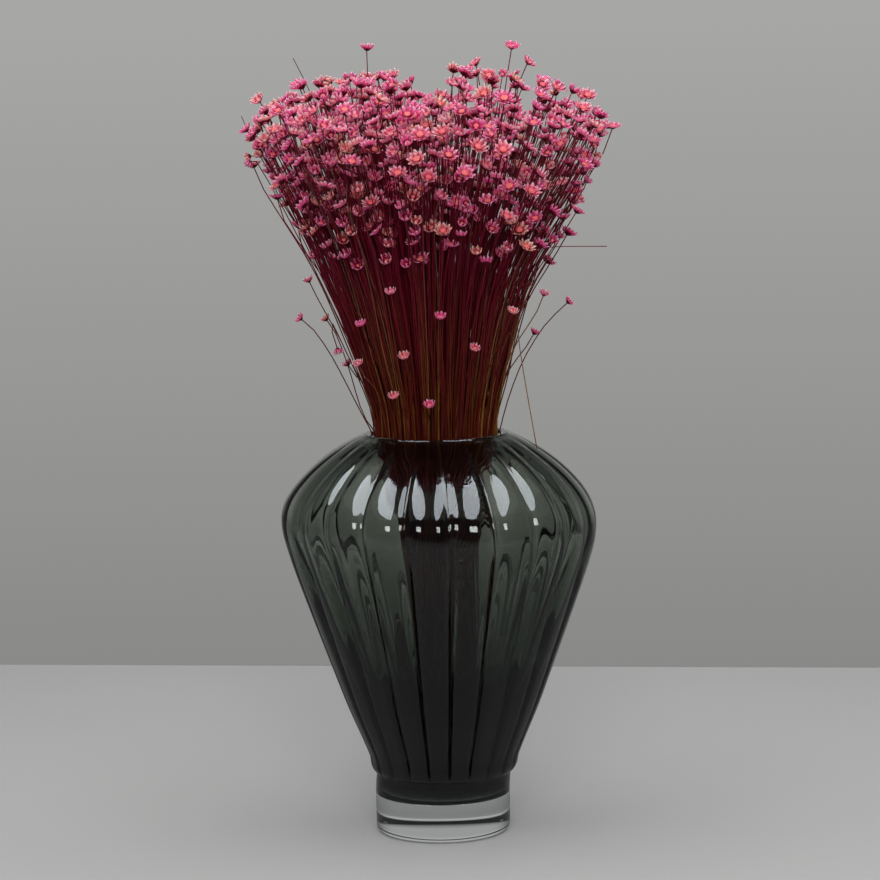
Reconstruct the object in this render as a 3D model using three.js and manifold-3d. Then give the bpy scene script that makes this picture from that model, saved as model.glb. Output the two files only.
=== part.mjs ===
// Dried glixia in a ribbed smoked glass vase with a clear glass foot.
// Millimetres, +Z up. The origin is the middle of the foot's underside, and the front faces -Y.
import * as THREE from "three";
import { mergeVertices } from "three/addons/utils/BufferGeometryUtils.js";
import Module from "manifold-3d";

// Clear foot
const FOOT_RADIUS = 42;
const FOOT_HEIGHT = 24.4;
const FOOT_BEVEL = 1.5;
const FOOT_SIDES = 48;

// Smoked body: an elliptical shoulder above the widest point, a cone that starts round below it
const VASE_HEIGHT = 250;
const LIP_OUTER = 44.8;
const LIP_INNER = 40;
const WIDEST_RADIUS = 97.2;
const WIDEST_LEVEL = 191.2;
const SHOULDER_SPAN = 162.8;
const SHOULDER_RISE = 80;
const CONE_SLOPE = 0.3685;
const CONE_ROUNDING = 11.5;
const LOBE_END_LEVEL = 37;
const GLASS_WALL = 4.5;
const WALL_THICKENING = 0.075;
const GLASS_FLOOR_LEVEL = 86;
const GLASS_FLOOR_RADIUS = 38;

// Lobes round the body: narrow grooves between broad lobes, as deep as a share of the radius. The
// inside follows them less deeply, and not at all on the glass floor.
const LOBES = 22;
const COLUMNS_PER_LOBE = 3;
const LOBE_DEPTH_SHARE = 0.037;
const INNER_LOBE_SHARE = 0.75;
const INNER_LOBES_START = 45;
const INNER_LOBES_FULL = 65;
const GROOVE_AZIMUTH = THREE.MathUtils.degToRad(4);
const LOBES_FULL_LEVEL = 236;

// The bunch: the radius of the whole sheaf of stems at each level, straight in between
const STALK_END_GAP = 0.3;
const STALK_FOOT = { level: GLASS_FLOOR_LEVEL + STALK_END_GAP, sheaf: 31, radius: 1.5 };
const STALK_WAIST = { level: 176, sheaf: 24.5, radius: 1.7 };
const STALK_FORK = { level: 246, sheaf: 35.2, radius: 2.8 };
const STEM_START = { level: 246, sheaf: 39 };
const STEM_KNOT = { level: 340, sheaf: 67 };
const BUNCH_TOP = { level: 484, sheaf: 145 };
const STEM_RADIUS = 0.75;

// Sprays, and the stems of each, laid out on a disc of radius 1
const SPRAY_RINGS = [
  { count: 3, radius: 0.125, turn: 0.4 },
  { count: 9, radius: 0.37, turn: 0.1 },
  { count: 16, radius: 0.62, turn: 0.25 },
  { count: 22, radius: 0.87, turn: 0 },
];
const SPRAY_CELL = 0.141;
const SPRAY_SPREAD = 0.87;
const FULL_SPRAY = 7;
const THIN_SPRAY = 6;
const THIN_SIDE = 0.3;
const STEM_REACH = { least: 0.4, most: 0.95 };
const SECTOR_JITTER = 0.5;
const CELL_MARGIN = 0.03;
const LAYOUT_TRIES = 14;
const SEED = 20451;

// Flower heads: a cup on the stem's end that opens into a star of pointed bracts
const BRACTS = 5;
const OPEN_HEAD = { radius: 6.1, rise: 3, notch: 0.5 };
const SHUT_HEAD = { radius: 3.4, rise: 5.4, notch: 0.72 };
const NOTCH_RISE = 0.84;
const DISC_RISE = 1.8;
const LEAST_OPEN = 0.5;
const OPEN_SPREAD = 0.9;
const LOOSE_HEAD_OPEN = 0.45;
const HEAD_TILT = 0.8;
const DOME_TOP = 472;
const DOME_FALL = 42;
const CLEFT_DEPTH = 18;
const CLEFT_WIDTH = 14;
const HEAD_DEPTH_SPREAD = 104;
const HEAD_DEPTH_BIAS = 1.3;
const LOWEST_HEAD = 352;
const LOWEST_HEAD_SPREAD = 6;
const HEAD_TRIES = 60;
const CLEARANCE = 0.25;

// Heads that draw the bunch's outline, as across, depth and level
const OUTLINE_HEADS = [
  [-38.3, -8, 484.1],
  [50, 10, 484.1],
  [-25.2, 22, 468.4],
  [-54.5, 26, 464.2],
  [-44.2, -34, 463.6],
  [13.9, -20, 470.2],
  [28.6, 14, 474.5],
  [37, -26, 464.2],
  [58.4, -18, 474.5],
  [77.8, 8, 460],
  [94.8, -12, 453.9],
  [98.3, 26, 438.1],
  [111.1, 6, 434.5],
  [97.4, -22, 412],
  [-104.8, 12, 454.5],
  [-110.7, -20, 436.9],
  [-104.8, 34, 430],
  [-109, 4, 414.4],
  [-93.5, -24, 395.5],
];

// Heads that stand off the sheaf's side: azimuth from the front, level, reach beyond the sheaf
// and how far the head leans out, all in degrees and millimetres
const LOW_HEADS = [
  { azimuth: -4, level: 271, reach: 6, lean: 62 },
  { azimuth: -27, level: 276, reach: 6, lean: 50 },
  { azimuth: -50, level: 295, reach: 6, lean: 48 },
  { azimuth: -40, level: 320, reach: 6.5, lean: 40 },
  { azimuth: -17, level: 301, reach: 6, lean: 55 },
  { azimuth: -20, level: 340, reach: 7, lean: 38 },
  { azimuth: 3, level: 325, reach: 7, lean: 52 },
  { azimuth: 22, level: 305, reach: 6, lean: 60 },
  { azimuth: 42, level: 326, reach: 6.5, lean: 44 },
  { azimuth: 66, level: 335, reach: 7, lean: 34 },
  { azimuth: -88, level: 344, reach: 7, lean: 40 },
  { azimuth: -112, level: 290, reach: 6, lean: 58 },
  { azimuth: -138, level: 322, reach: 6.5, lean: 46 },
  { azimuth: -163, level: 278, reach: 6, lean: 60 },
  { azimuth: 178, level: 318, reach: 7, lean: 50 },
  { azimuth: 151, level: 296, reach: 6, lean: 44 },
  { azimuth: 127, level: 336, reach: 7, lean: 40 },
  { azimuth: 106, level: 308, reach: 6.5, lean: 52 },
];

// Stems that hang out over the lip: points from the lip to the head, and the head's lean
const DROOPING_STEMS = [
  { points: [[-46.5, -3, 264], [-63.8, -6, 299.3], [-81, -8, 321.5]], lean: 52 },
  { points: [[44.5, 4, 268], [54.5, 5, 293], [67, 6, 313], [82, 6, 328]], lean: 50 },
  { points: [[-45, 10, 260], [-54.5, 14, 292], [-66.5, 15, 319]], lean: 38 },
];
const LIP_PASS = { level: 248, radius: 38.75 };
const LIP_ELBOW = { level: 260, radius: 45.6 };
const SHEAF_SKIN = 2.2;
const ROOT_LEVEL = 236;

// Colours
const smokedGlass = { color: 0x2b2724, roughness: 0.06, metalness: 0 };
const clearGlass = { color: 0xc9cdcd, roughness: 0.04, metalness: 0 };
const driedBloom = { color: 0xc65b7c, roughness: 0.75, metalness: 0 };

const wasm = await Module();
wasm.setup();

// Repeatable random numbers from 0 to 1
function seededRandom(seed) {
  let state = seed | 0;
  return () => {
    state = (state + 0x6d2b79f5) | 0;
    let mixed = Math.imul(state ^ (state >>> 15), 1 | state);
    mixed = (mixed + Math.imul(mixed ^ (mixed >>> 7), 61 | mixed)) ^ mixed;
    return ((mixed ^ (mixed >>> 14)) >>> 0) / 4294967296;
  };
}

const lerp = THREE.MathUtils.lerp;

// A closed body from a turned or drawn geometry, with its shared corners merged
function weld(geometry) {
  geometry.deleteAttribute("normal");
  geometry.deleteAttribute("uv");
  const welded = mergeVertices(geometry, 1e-4);
  const corners = welded.index.array;
  const kept = [];
  for (let i = 0; i < corners.length; i += 3) {
    const [a, b, c] = corners.slice(i, i + 3);
    if (a !== b && b !== c && c !== a) kept.push(a, b, c);
  }
  welded.setIndex(kept);
  return welded;
}

function toSolid(geometry) {
  return new wasm.Manifold(
    new wasm.Mesh({
      numProp: 3,
      vertProperties: new Float32Array(geometry.attributes.position.array),
      triVerts: new Uint32Array(geometry.index.array),
    }),
  );
}

function toGeometry(solid) {
  const mesh = solid.getMesh();
  const geometry = new THREE.BufferGeometry();
  geometry.setAttribute("position", new THREE.BufferAttribute(mesh.vertProperties, 3));
  geometry.setIndex(new THREE.BufferAttribute(mesh.triVerts, 1));
  return geometry;
}

function namedMesh(name, geometry, finish) {
  const shaded = geometry.toNonIndexed();
  shaded.computeVertexNormals();
  const material = new THREE.MeshStandardMaterial({ ...finish, flatShading: true });
  const mesh = new THREE.Mesh(shaded, material);
  mesh.name = name;
  return mesh;
}

// Turns an outline of radius and level about the vertical axis; azimuth 0 faces the front
function turned(outline, sides, firstAzimuth = 0) {
  const geometry = new THREE.LatheGeometry(outline, sides, firstAzimuth);
  geometry.rotateX(Math.PI / 2);
  return geometry;
}

// Vase

function outerRadius(level) {
  const rise = level - WIDEST_LEVEL;
  if (rise >= 0) {
    return WIDEST_RADIUS - SHOULDER_SPAN * (1 - Math.sqrt(1 - (rise / SHOULDER_RISE) ** 2));
  }
  return WIDEST_RADIUS - CONE_SLOPE * (Math.hypot(rise, CONE_ROUNDING) - CONE_ROUNDING);
}

// The inside face, one wall's thickness in from the outside, square to it. The wall grows thicker
// down the cone.
function innerPoint(level) {
  const step = 0.01;
  const slope = (outerRadius(level + step) - outerRadius(level - step)) / (2 * step);
  const wall = GLASS_WALL + WALL_THICKENING * Math.max(0, WIDEST_LEVEL - level);
  const inward = wall / Math.hypot(1, slope);
  return new THREE.Vector2(outerRadius(level) - inward, level + inward * slope);
}

// How much of their depth the lobes have at a level: none at the lip and on the plain ring
function lobeShare(level) {
  if (level <= LOBE_END_LEVEL) return 0;
  return THREE.MathUtils.smoothstep(VASE_HEIGHT - level, 0, VASE_HEIGHT - LOBES_FULL_LEVEL);
}

// 1 in a groove, 0 on a lobe
function grooveFall(azimuth) {
  const turn = (LOBES * (azimuth - GROOVE_AZIMUTH)) / (2 * Math.PI);
  const away = 2 * Math.abs(turn - Math.round(turn));
  return (1 - away) ** 3;
}

function vaseCup() {
  const point = (radius, level) => new THREE.Vector2(radius, level);
  const bodyLevels = [46, 140, 173, WIDEST_LEVEL, 207, 221, 232.5, 242.5];
  const outside = [
    point(0, FOOT_HEIGHT),
    point(FOOT_RADIUS, FOOT_HEIGHT),
    point(FOOT_RADIUS, LOBE_END_LEVEL - 1.5),
    point(FOOT_RADIUS + 2.4, LOBE_END_LEVEL + 1.5),
    ...bodyLevels.map((level) => point(outerRadius(level), level)),
    point(LIP_OUTER, VASE_HEIGHT - 0.7),
  ];
  const innerLevels = [236, 216, 192, 166, 122];
  const inside = [
    point(LIP_OUTER - 1.2, VASE_HEIGHT),
    point(LIP_INNER + 1, VASE_HEIGHT),
    point(LIP_INNER, VASE_HEIGHT - 1.2),
    point(LIP_INNER, VASE_HEIGHT - 4),
    ...innerLevels.map(innerPoint),
    point(GLASS_FLOOR_RADIUS, GLASS_FLOOR_LEVEL),
    point(0, GLASS_FLOOR_LEVEL),
  ];
  const outline = [...outside, ...inside];
  const geometry = turned(outline, LOBES * COLUMNS_PER_LOBE, GROOVE_AZIMUTH);
  const corners = geometry.attributes.position;
  for (let i = 0; i < corners.count; i += 1) {
    const [x, y, level] = [corners.getX(i), corners.getY(i), corners.getZ(i)];
    const radius = Math.hypot(x, y);
    if (radius === 0) continue;
    const isOutside = i % outline.length < outside.length;
    const follow = THREE.MathUtils.clamp(
      (radius - INNER_LOBES_START) / (INNER_LOBES_FULL - INNER_LOBES_START),
      0,
      INNER_LOBE_SHARE,
    );
    const depth = LOBE_DEPTH_SHARE * lobeShare(level) * (isOutside ? 1 : follow);
    const pulled = 1 - depth * grooveFall(Math.atan2(x, -y));
    corners.setXY(i, x * pulled, y * pulled);
  }
  return weld(geometry);
}

function vaseFoot() {
  const outline = [
    new THREE.Vector2(0, 0),
    new THREE.Vector2(FOOT_RADIUS - FOOT_BEVEL, 0),
    new THREE.Vector2(FOOT_RADIUS, FOOT_BEVEL),
    new THREE.Vector2(FOOT_RADIUS, FOOT_HEIGHT),
    new THREE.Vector2(0, FOOT_HEIGHT),
  ];
  return weld(turned(outline, FOOT_SIDES, GROOVE_AZIMUTH));
}

// Bodies built from rings of corners, each ring anticlockwise seen from its upper end

class Shell {
  constructor() {
    this.corners = [];
    this.faces = [];
  }

  corner(point) {
    this.corners.push(point.x, point.y, point.z);
    return this.corners.length / 3 - 1;
  }

  ring(points) {
    return points.map((point) => this.corner(point));
  }

  // Joins two rings, which may have different numbers of corners
  bridge(lower, upper) {
    let i = 0;
    let j = 0;
    while (i < lower.length || j < upper.length) {
      const a = lower[i % lower.length];
      const b = upper[j % upper.length];
      const stepLower = i < lower.length && (i + 1) * upper.length <= (j + 1) * lower.length;
      if (stepLower || j === upper.length) {
        i += 1;
        this.faces.push(a, lower[i % lower.length], b);
      } else {
        j += 1;
        this.faces.push(a, upper[j % upper.length], b);
      }
    }
  }

  fan(ring, apex) {
    ring.forEach((corner, i) => this.faces.push(corner, ring[(i + 1) % ring.length], apex));
  }

  closeBelow(ring) {
    for (let i = 1; i + 1 < ring.length; i += 1) this.faces.push(ring[0], ring[i + 1], ring[i]);
  }

  geometry() {
    const geometry = new THREE.BufferGeometry();
    geometry.setAttribute("position", new THREE.Float32BufferAttribute(this.corners, 3));
    geometry.setIndex(this.faces);
    return geometry;
  }
}

// Corners at the given turns about a centre, on two directions square to each other
function circlePoints(centre, across, along, radius, turns) {
  return turns.map((turn) =>
    centre
      .clone()
      .addScaledVector(across, radius * Math.cos(turn))
      .addScaledVector(along, radius * Math.sin(turn)),
  );
}

const EAST = new THREE.Vector3(1, 0, 0);
const NORTH = new THREE.Vector3(0, 1, 0);
const UP = new THREE.Vector3(0, 0, 1);
const THIRDS = [0, (2 * Math.PI) / 3, (4 * Math.PI) / 3];

// A flower head on the end of a stem, whose last ring faces the direction given as reference
function addHead(shell, below, head, reference) {
  const across = reference.clone().addScaledVector(head.axis, -reference.dot(head.axis)).normalize();
  const along = head.axis.clone().cross(across);
  const throat = shell.ring(circlePoints(head.base, across, along, STEM_RADIUS, THIRDS));
  shell.bridge(below, throat);
  const size = (part) => lerp(SHUT_HEAD[part], OPEN_HEAD[part], head.openness);
  const star = [];
  for (let i = 0; i < 2 * BRACTS; i += 1) {
    const isTip = i % 2 === 0;
    const turn = (Math.PI * i) / BRACTS;
    const radius = size("radius") * (isTip ? 1 : size("notch"));
    const rise = size("rise") * (isTip ? 1 : NOTCH_RISE);
    const centre = head.base.clone().addScaledVector(head.axis, rise);
    star.push(...circlePoints(centre, across, along, radius, [turn]));
  }
  const rim = shell.ring(star);
  shell.bridge(throat, rim);
  const disc = head.base.clone().addScaledVector(head.axis, DISC_RISE);
  shell.fan(rim, shell.corner(disc));
}

// Layout of the bunch

// Spray centres in rings on the disc; sprays on the thin side, to the right, have fewer stems
function sprayCentres() {
  return SPRAY_RINGS.flatMap(({ count, radius, turn }) =>
    Array.from({ length: count }, (_, index) => {
      const angle = (2 * Math.PI * (index + turn)) / count;
      return new THREE.Vector2(radius * Math.cos(angle), radius * Math.sin(angle));
    }),
  );
}

// Where a point of the disc lies in the sheaf at a level above the fork
function sheafRadius(level) {
  if (level <= STEM_KNOT.level) {
    const share = (level - STEM_START.level) / (STEM_KNOT.level - STEM_START.level);
    return lerp(STEM_START.sheaf, STEM_KNOT.sheaf, share);
  }
  const share = (level - STEM_KNOT.level) / (BUNCH_TOP.level - STEM_KNOT.level);
  return lerp(STEM_KNOT.sheaf, BUNCH_TOP.sheaf, share);
}

function inSheaf(place, level) {
  const radius = sheafRadius(level);
  return new THREE.Vector3(place.x * radius, place.y * radius, level);
}

function nearestGap(place, others) {
  return others.reduce((least, other) => Math.min(least, place.distanceTo(other)), Infinity);
}

// Whether a place lies too near the next spray for its own stem to reach without crossing
function strays(place, own, sprays) {
  const limit = place.distanceTo(own.centre) + CELL_MARGIN;
  return sprays.some((other) => other !== own && place.distanceTo(other.centre) < limit);
}

// Gives every spray its stems, one in each sector round its centre
function layOutStems() {
  const random = seededRandom(SEED);
  const sprays = sprayCentres().map((centre) => {
    const count = centre.x > THIN_SIDE ? THIN_SPRAY : FULL_SPRAY;
    return { centre, stems: new Array(count).fill(null) };
  });
  const taken = [];
  for (const [x, y, level] of OUTLINE_HEADS) {
    const radius = sheafRadius(level);
    const place = new THREE.Vector2(x / radius, y / radius);
    const near = (spray) => place.distanceTo(spray.centre);
    const spray = sprays.reduce((best, other) => (near(other) < near(best) ? other : best));
    const turn = place.clone().sub(spray.centre).angle();
    const sector = Math.floor((turn / (2 * Math.PI)) * spray.stems.length);
    if (spray.stems[sector]) throw new Error(`two outline heads share a stem at ${x}, ${level}`);
    spray.stems[sector] = { place, level };
    taken.push(place);
  }
  for (const spray of sprays) {
    const count = spray.stems.length;
    for (let sector = 0; sector < count; sector += 1) {
      if (spray.stems[sector]) continue;
      let best = null;
      for (let tries = 0; tries < LAYOUT_TRIES; tries += 1) {
        const turn = (2 * Math.PI * (sector + 0.5 + SECTOR_JITTER * (random() - 0.5))) / count;
        const reach = SPRAY_CELL * lerp(STEM_REACH.least, STEM_REACH.most, Math.sqrt(random()));
        const offset = new THREE.Vector2(Math.cos(turn), Math.sin(turn)).multiplyScalar(reach);
        let place = spray.centre.clone().add(offset);
        while (strays(place, spray, sprays)) {
          offset.multiplyScalar(0.9);
          place = spray.centre.clone().add(offset);
        }
        const gap = nearestGap(place, taken);
        if (!best || gap > best.gap) best = { place, gap };
      }
      spray.stems[sector] = { place: best.place };
      taken.push(best.place);
    }
  }
  return sprays;
}

// The highest that a head may stand: a dome with a shallow cleft along its middle
function domeLevel(place) {
  const dome = DOME_TOP - DOME_FALL * place.length() ** 3;
  const across = place.x * sheafRadius(dome);
  return dome - CLEFT_DEPTH * Math.exp(-((across / CLEFT_WIDTH) ** 2));
}

function headRadius(head) {
  return lerp(SHUT_HEAD.radius, OPEN_HEAD.radius, head.openness);
}

function headCentre(head) {
  return head.base.clone().addScaledVector(head.axis, DISC_RISE);
}

// From a point to the free upper part of a stem that ends at the level given
function distanceToStem(point, stem, level) {
  const line = new THREE.Line3(inSheaf(stem.place, STEM_KNOT.level), inSheaf(stem.place, level));
  return point.distanceTo(line.closestPointToPoint(point, true, new THREE.Vector3()));
}

// The least gap between a head and the heads and stems that are round it
function roomRound(head, stem, heads, stems) {
  const centre = headCentre(head);
  const radius = headRadius(head);
  let room = Infinity;
  for (const other of heads) {
    room = Math.min(room, centre.distanceTo(headCentre(other)) - radius - headRadius(other));
  }
  for (const other of stems) {
    if (other === stem) continue;
    room = Math.min(room, distanceToStem(centre, other, other.top) - radius - STEM_RADIUS);
  }
  return room;
}

// The gap between a stem and the heads beside it
function roomAlong(stem, level, heads) {
  const gap = (head) => distanceToStem(headCentre(head), stem, level) - headRadius(head);
  return heads.reduce((room, head) => Math.min(room, gap(head) - STEM_RADIUS), Infinity);
}

// The way a head faces: along its stem, turned a little to a random side
function headAxis(stem, random) {
  const knot = inSheaf(stem.place, STEM_KNOT.level);
  const rise = inSheaf(stem.place, BUNCH_TOP.level).sub(knot).normalize();
  const turn = 2 * Math.PI * random();
  const tilt = HEAD_TILT * Math.sqrt(random());
  return rise
    .addScaledVector(EAST, tilt * Math.cos(turn))
    .addScaledVector(NORTH, tilt * Math.sin(turn))
    .normalize();
}

// Puts a head on every stem, each at the first drawn level where it touches nothing
function placeHeads(sprays) {
  const stems = sprays.flatMap((spray) => spray.stems);
  stems.forEach((stem, index) => {
    stem.index = index;
    stem.top = stem.level ?? domeLevel(stem.place);
  });
  const order = [...stems].sort((a, b) => {
    const first = (b.level ? 1 : 0) - (a.level ? 1 : 0);
    return first || b.place.length() - a.place.length() || a.index - b.index;
  });
  const heads = [];
  for (const stem of order) {
    const random = seededRandom(SEED + 1 + stem.index);
    let best = null;
    for (let tries = 0; tries < HEAD_TRIES; tries += 1) {
      const highest = domeLevel(stem.place);
      const depth = HEAD_DEPTH_SPREAD * random() ** HEAD_DEPTH_BIAS;
      const lowest = LOWEST_HEAD + LOWEST_HEAD_SPREAD * random();
      const level = stem.level ?? Math.max(highest - depth, lowest);
      const openness = Math.min(1, LEAST_OPEN + OPEN_SPREAD * random()) * (1 - tries / HEAD_TRIES);
      const head = { base: inSheaf(stem.place, level), axis: headAxis(stem, random), openness };
      const room = Math.min(roomRound(head, stem, heads, stems), roomAlong(stem, level, heads));
      if (!best || room > best.room) best = { head, room };
      if (room >= CLEARANCE) break;
    }
    stem.head = best.head;
    stem.top = best.head.base.z;
    heads.push(best.head);
  }
}

// One spray: a stalk as many-sided as it has stems, which opens at its top into all of them
function spray(centre, stems) {
  const shell = new Shell();
  const turnOf = (index) => (2 * Math.PI * index) / stems.length;
  const sectors = stems.map((stem, index) => turnOf(index));
  const stalkRing = ({ level, sheaf, radius }) => {
    const middle = new THREE.Vector3(centre.x, centre.y, 0).multiplyScalar(sheaf / SPRAY_SPREAD);
    middle.z = level;
    return { middle, ring: shell.ring(circlePoints(middle, EAST, NORTH, radius, sectors)) };
  };
  const foot = stalkRing(STALK_FOOT);
  const waist = stalkRing(STALK_WAIST);
  const fork = stalkRing(STALK_FORK);
  shell.closeBelow(foot.ring);
  shell.bridge(foot.ring, waist.ring);
  shell.bridge(waist.ring, fork.ring);
  const heart = shell.corner(fork.middle);
  stems.forEach((stem, index) => {
    const root = [heart, fork.ring[index], fork.ring[(index + 1) % stems.length]];
    const turn = turnOf(index + 0.5) + Math.PI;
    const reference = new THREE.Vector3(Math.cos(turn), Math.sin(turn), 0);
    const sideways = UP.clone().cross(reference);
    const middle = inSheaf(stem.place, STEM_KNOT.level);
    const knot = shell.ring(circlePoints(middle, reference, sideways, STEM_RADIUS, THIRDS));
    shell.bridge(root, knot);
    addHead(shell, knot, stem.head, reference);
  });
  return toSolid(shell.geometry());
}

// A single stem along the given points, with a head on its end
function looseStem(points, axis) {
  const shell = new Shell();
  const outward = new THREE.Vector3(points[0].x, points[0].y, 0).normalize();
  const sideways = UP.clone().cross(outward);
  const rings = points
    .slice(0, -1)
    .map((point) => shell.ring(circlePoints(point, outward, sideways, STEM_RADIUS, THIRDS)));
  shell.closeBelow(rings[0]);
  for (let i = 1; i < rings.length; i += 1) shell.bridge(rings[i - 1], rings[i]);
  const head = { base: points.at(-1), axis, openness: LOOSE_HEAD_OPEN };
  addHead(shell, rings.at(-1), head, outward);
  return toSolid(shell.geometry());
}

// A point at a radius and azimuth about the vase's axis; azimuth 0 faces the front
function around(radius, azimuth, level) {
  return new THREE.Vector3(radius * Math.sin(azimuth), -radius * Math.cos(azimuth), level);
}

function azimuthOf(point) {
  return Math.atan2(point.x, -point.y);
}

// The stalk on the sheaf's edge that lies nearest to an azimuth
function nearestStalk(azimuth, sprays) {
  const edge = sprays.filter((spray) => spray.centre.length() > SPRAY_SPREAD - CELL_MARGIN);
  const facing = new THREE.Vector2(Math.sin(azimuth), -Math.cos(azimuth));
  const away = (spray) => facing.angleTo(spray.centre);
  return edge.reduce((best, other) => (away(other) < away(best) ? other : best));
}

// From the stalk that a loose stem grows on, between the sheaf and the lip, to just above the lip
function rootPoints(stalk) {
  const azimuth = azimuthOf(stalk.centre);
  const radius = (STALK_FORK.sheaf / SPRAY_SPREAD) * stalk.centre.length();
  return [
    around(radius, azimuth, ROOT_LEVEL),
    around(LIP_PASS.radius, azimuth, LIP_PASS.level),
    around(LIP_ELBOW.radius, azimuth, LIP_ELBOW.level),
  ];
}

function lowHeadStem({ azimuth, level, reach, lean }, sprays) {
  const facing = THREE.MathUtils.degToRad(azimuth);
  const stalk = nearestStalk(facing, sprays);
  const root = rootPoints(stalk);
  const middleLevel = (LIP_ELBOW.level + level) / 2;
  const middle = around(sheafRadius(middleLevel) + SHEAF_SKIN, facing, middleLevel);
  const base = around(sheafRadius(level) + reach, facing, level);
  const tip = THREE.MathUtils.degToRad(lean);
  const axis = around(Math.sin(tip), facing, Math.cos(tip));
  return { stalk, solid: looseStem([...root, middle, base], axis) };
}

function droopingStem({ points, lean }, sprays) {
  const path = points.map((point) => new THREE.Vector3(...point));
  const stalk = nearestStalk(azimuthOf(path[0]), sprays);
  const root = rootPoints(stalk).slice(0, 2);
  const facing = azimuthOf(path.at(-1));
  const tip = THREE.MathUtils.degToRad(lean);
  const axis = around(Math.sin(tip), facing, Math.cos(tip));
  return { stalk, solid: looseStem([...root, ...path], axis) };
}

// The whole object
const vase = new THREE.Group();
vase.add(namedMesh("vase_foot", vaseFoot(), clearGlass));
vase.add(namedMesh("vase_cup", vaseCup(), smokedGlass));

const bunch = new THREE.Group();
const sprays = layOutStems();
placeHeads(sprays);
const loose = [
  ...LOW_HEADS.map((stem) => lowHeadStem(stem, sprays)),
  ...DROOPING_STEMS.map((stem) => droopingStem(stem, sprays)),
];
sprays.forEach((stalk, index) => {
  let solid = spray(stalk.centre, stalk.stems);
  for (const stem of loose) {
    if (stem.stalk === stalk) solid = solid.add(stem.solid);
  }
  const name = `spray_${String(index + 1).padStart(2, "0")}`;
  bunch.add(namedMesh(name, toGeometry(solid), driedBloom));
});

const object = new THREE.Group();
object.add(vase, bunch);
export default object;
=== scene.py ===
"""Dried glixia in a ribbed smoked glass vase on a clear foot: finer pieces, finishes, light and camera.

Lengths are millimetres while a shape is worked out, and metres in every mesh. The front faces -Y.
"""
import math
from collections import namedtuple

import bpy
import numpy as np
from mathutils import Euler, Matrix, Vector


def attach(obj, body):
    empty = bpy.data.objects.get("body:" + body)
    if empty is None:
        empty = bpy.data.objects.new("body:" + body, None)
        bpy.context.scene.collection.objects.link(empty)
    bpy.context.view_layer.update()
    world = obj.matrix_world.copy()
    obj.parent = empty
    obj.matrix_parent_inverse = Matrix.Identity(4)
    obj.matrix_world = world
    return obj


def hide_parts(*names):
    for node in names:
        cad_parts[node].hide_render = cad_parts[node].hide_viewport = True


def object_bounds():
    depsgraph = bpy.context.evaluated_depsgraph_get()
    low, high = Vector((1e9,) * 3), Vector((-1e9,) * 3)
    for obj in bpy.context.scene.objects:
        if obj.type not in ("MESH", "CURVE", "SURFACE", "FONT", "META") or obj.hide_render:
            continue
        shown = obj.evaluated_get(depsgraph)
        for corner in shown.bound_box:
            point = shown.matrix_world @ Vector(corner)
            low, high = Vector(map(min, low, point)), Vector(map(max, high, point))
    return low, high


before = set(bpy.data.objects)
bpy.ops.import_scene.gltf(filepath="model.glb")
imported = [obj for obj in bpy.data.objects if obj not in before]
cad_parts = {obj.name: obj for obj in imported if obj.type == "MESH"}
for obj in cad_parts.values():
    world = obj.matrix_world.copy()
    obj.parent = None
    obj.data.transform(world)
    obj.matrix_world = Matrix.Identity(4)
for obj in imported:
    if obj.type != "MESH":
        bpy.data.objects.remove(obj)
cad_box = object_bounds()

MM = 0.001
INSIDE = [np.array(corner) for corner in cad_box]
FULL_TURN = 2 * math.pi

# Smoked body
LIP_LEVEL = 250
LIP_OUTER = 44.8
LIP_INNER = 40
LIP_ROUNDING = 1.1
WIDEST_RADIUS = 97.2
WIDEST_LEVEL = 191.2
SHOULDER_SPAN = 162.8
SHOULDER_RISE = 80
CONE_SLOPE = 0.3685
CONE_ROUNDING = 11.5
RING_RADIUS = 42
RING_TOP = 37.5
RING_CORNER_FULLNESS = 1.2
LOBE_END_LEVEL = 47
GLASS_WALL = 4.5
WALL_THICKENING = 0.075
GLASS_FLOOR_LEVEL = 86
GLASS_FLOOR_MIDDLE = 15
GLASS_FLOOR_BEND = ((60.5, 111), (52.5, 99), (44.5, 90.8), (37.5, 87), (31, GLASS_FLOOR_LEVEL))

# Hand-made unevenness: how much fuller the shoulder is, about which level and how far from it; how
# much slimmer the cone is at its foot, and up to which level; how far the cone and the foot stand
# to the right of the axis, and between which levels the body comes back to it
SHOULDER_SWELL = (1.3, 207, 15)
CONE_DRAW_IN = (1.6, 85)
CONE_ASIDE = 1.85
FOOT_ASIDE = 0.5
STRAIGHTENING = (178, 212)

# Rows of corners on the body: from level to level evenly spaced ones, and levels inside the wall
BODY_ROWS = ((LOBE_END_LEVEL, 164, 20), (164, 228, 38), (228, LIP_LEVEL - 1.6, 14))
INSIDE_LEVELS = (240, 236, 230, 222, 212, 202, 192, 182, 172, 160, 140, 122)
INSIDE_TOP = 246
INSIDE_ROWS = 48
LIP_ROWS = 6
RING_CORNER_ROWS = 7

# Distances from the sharp edges of the glass to the rows that keep the shading true beside them
EDGE_ROWS = (0.2, 0.4)
RING_LOW_ROWS = (0.2, 0.4, 0.7, 5)
RING_HIGH_ROWS = (1, 0.6)

# Lobes round the body
LOBES = 22
COLUMNS_PER_LOBE = 16
LOBE_DEPTH_SHARE = 0.037
INNER_LOBE_SHARE = 0.75
INNER_LOBES_START = 45
INNER_LOBES_FULL = 65
GROOVE_AZIMUTH = math.radians(4)
LOBES_FULL_LEVEL = 236

# The grooves at the cone's foot and on the shoulder: how blunt, how narrow and how deep they are,
# and the levels between which their section and their depth change
GROOVE_SOFTNESS = (0.04, 0.1)
GROOVE_NARROWNESS = (8, 3)
GROOVE_DEEPENING = (1.2, 0.85)
SECTION_CHANGE = (70, 202)
DEPTH_CHANGE = (172, 202)

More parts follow.
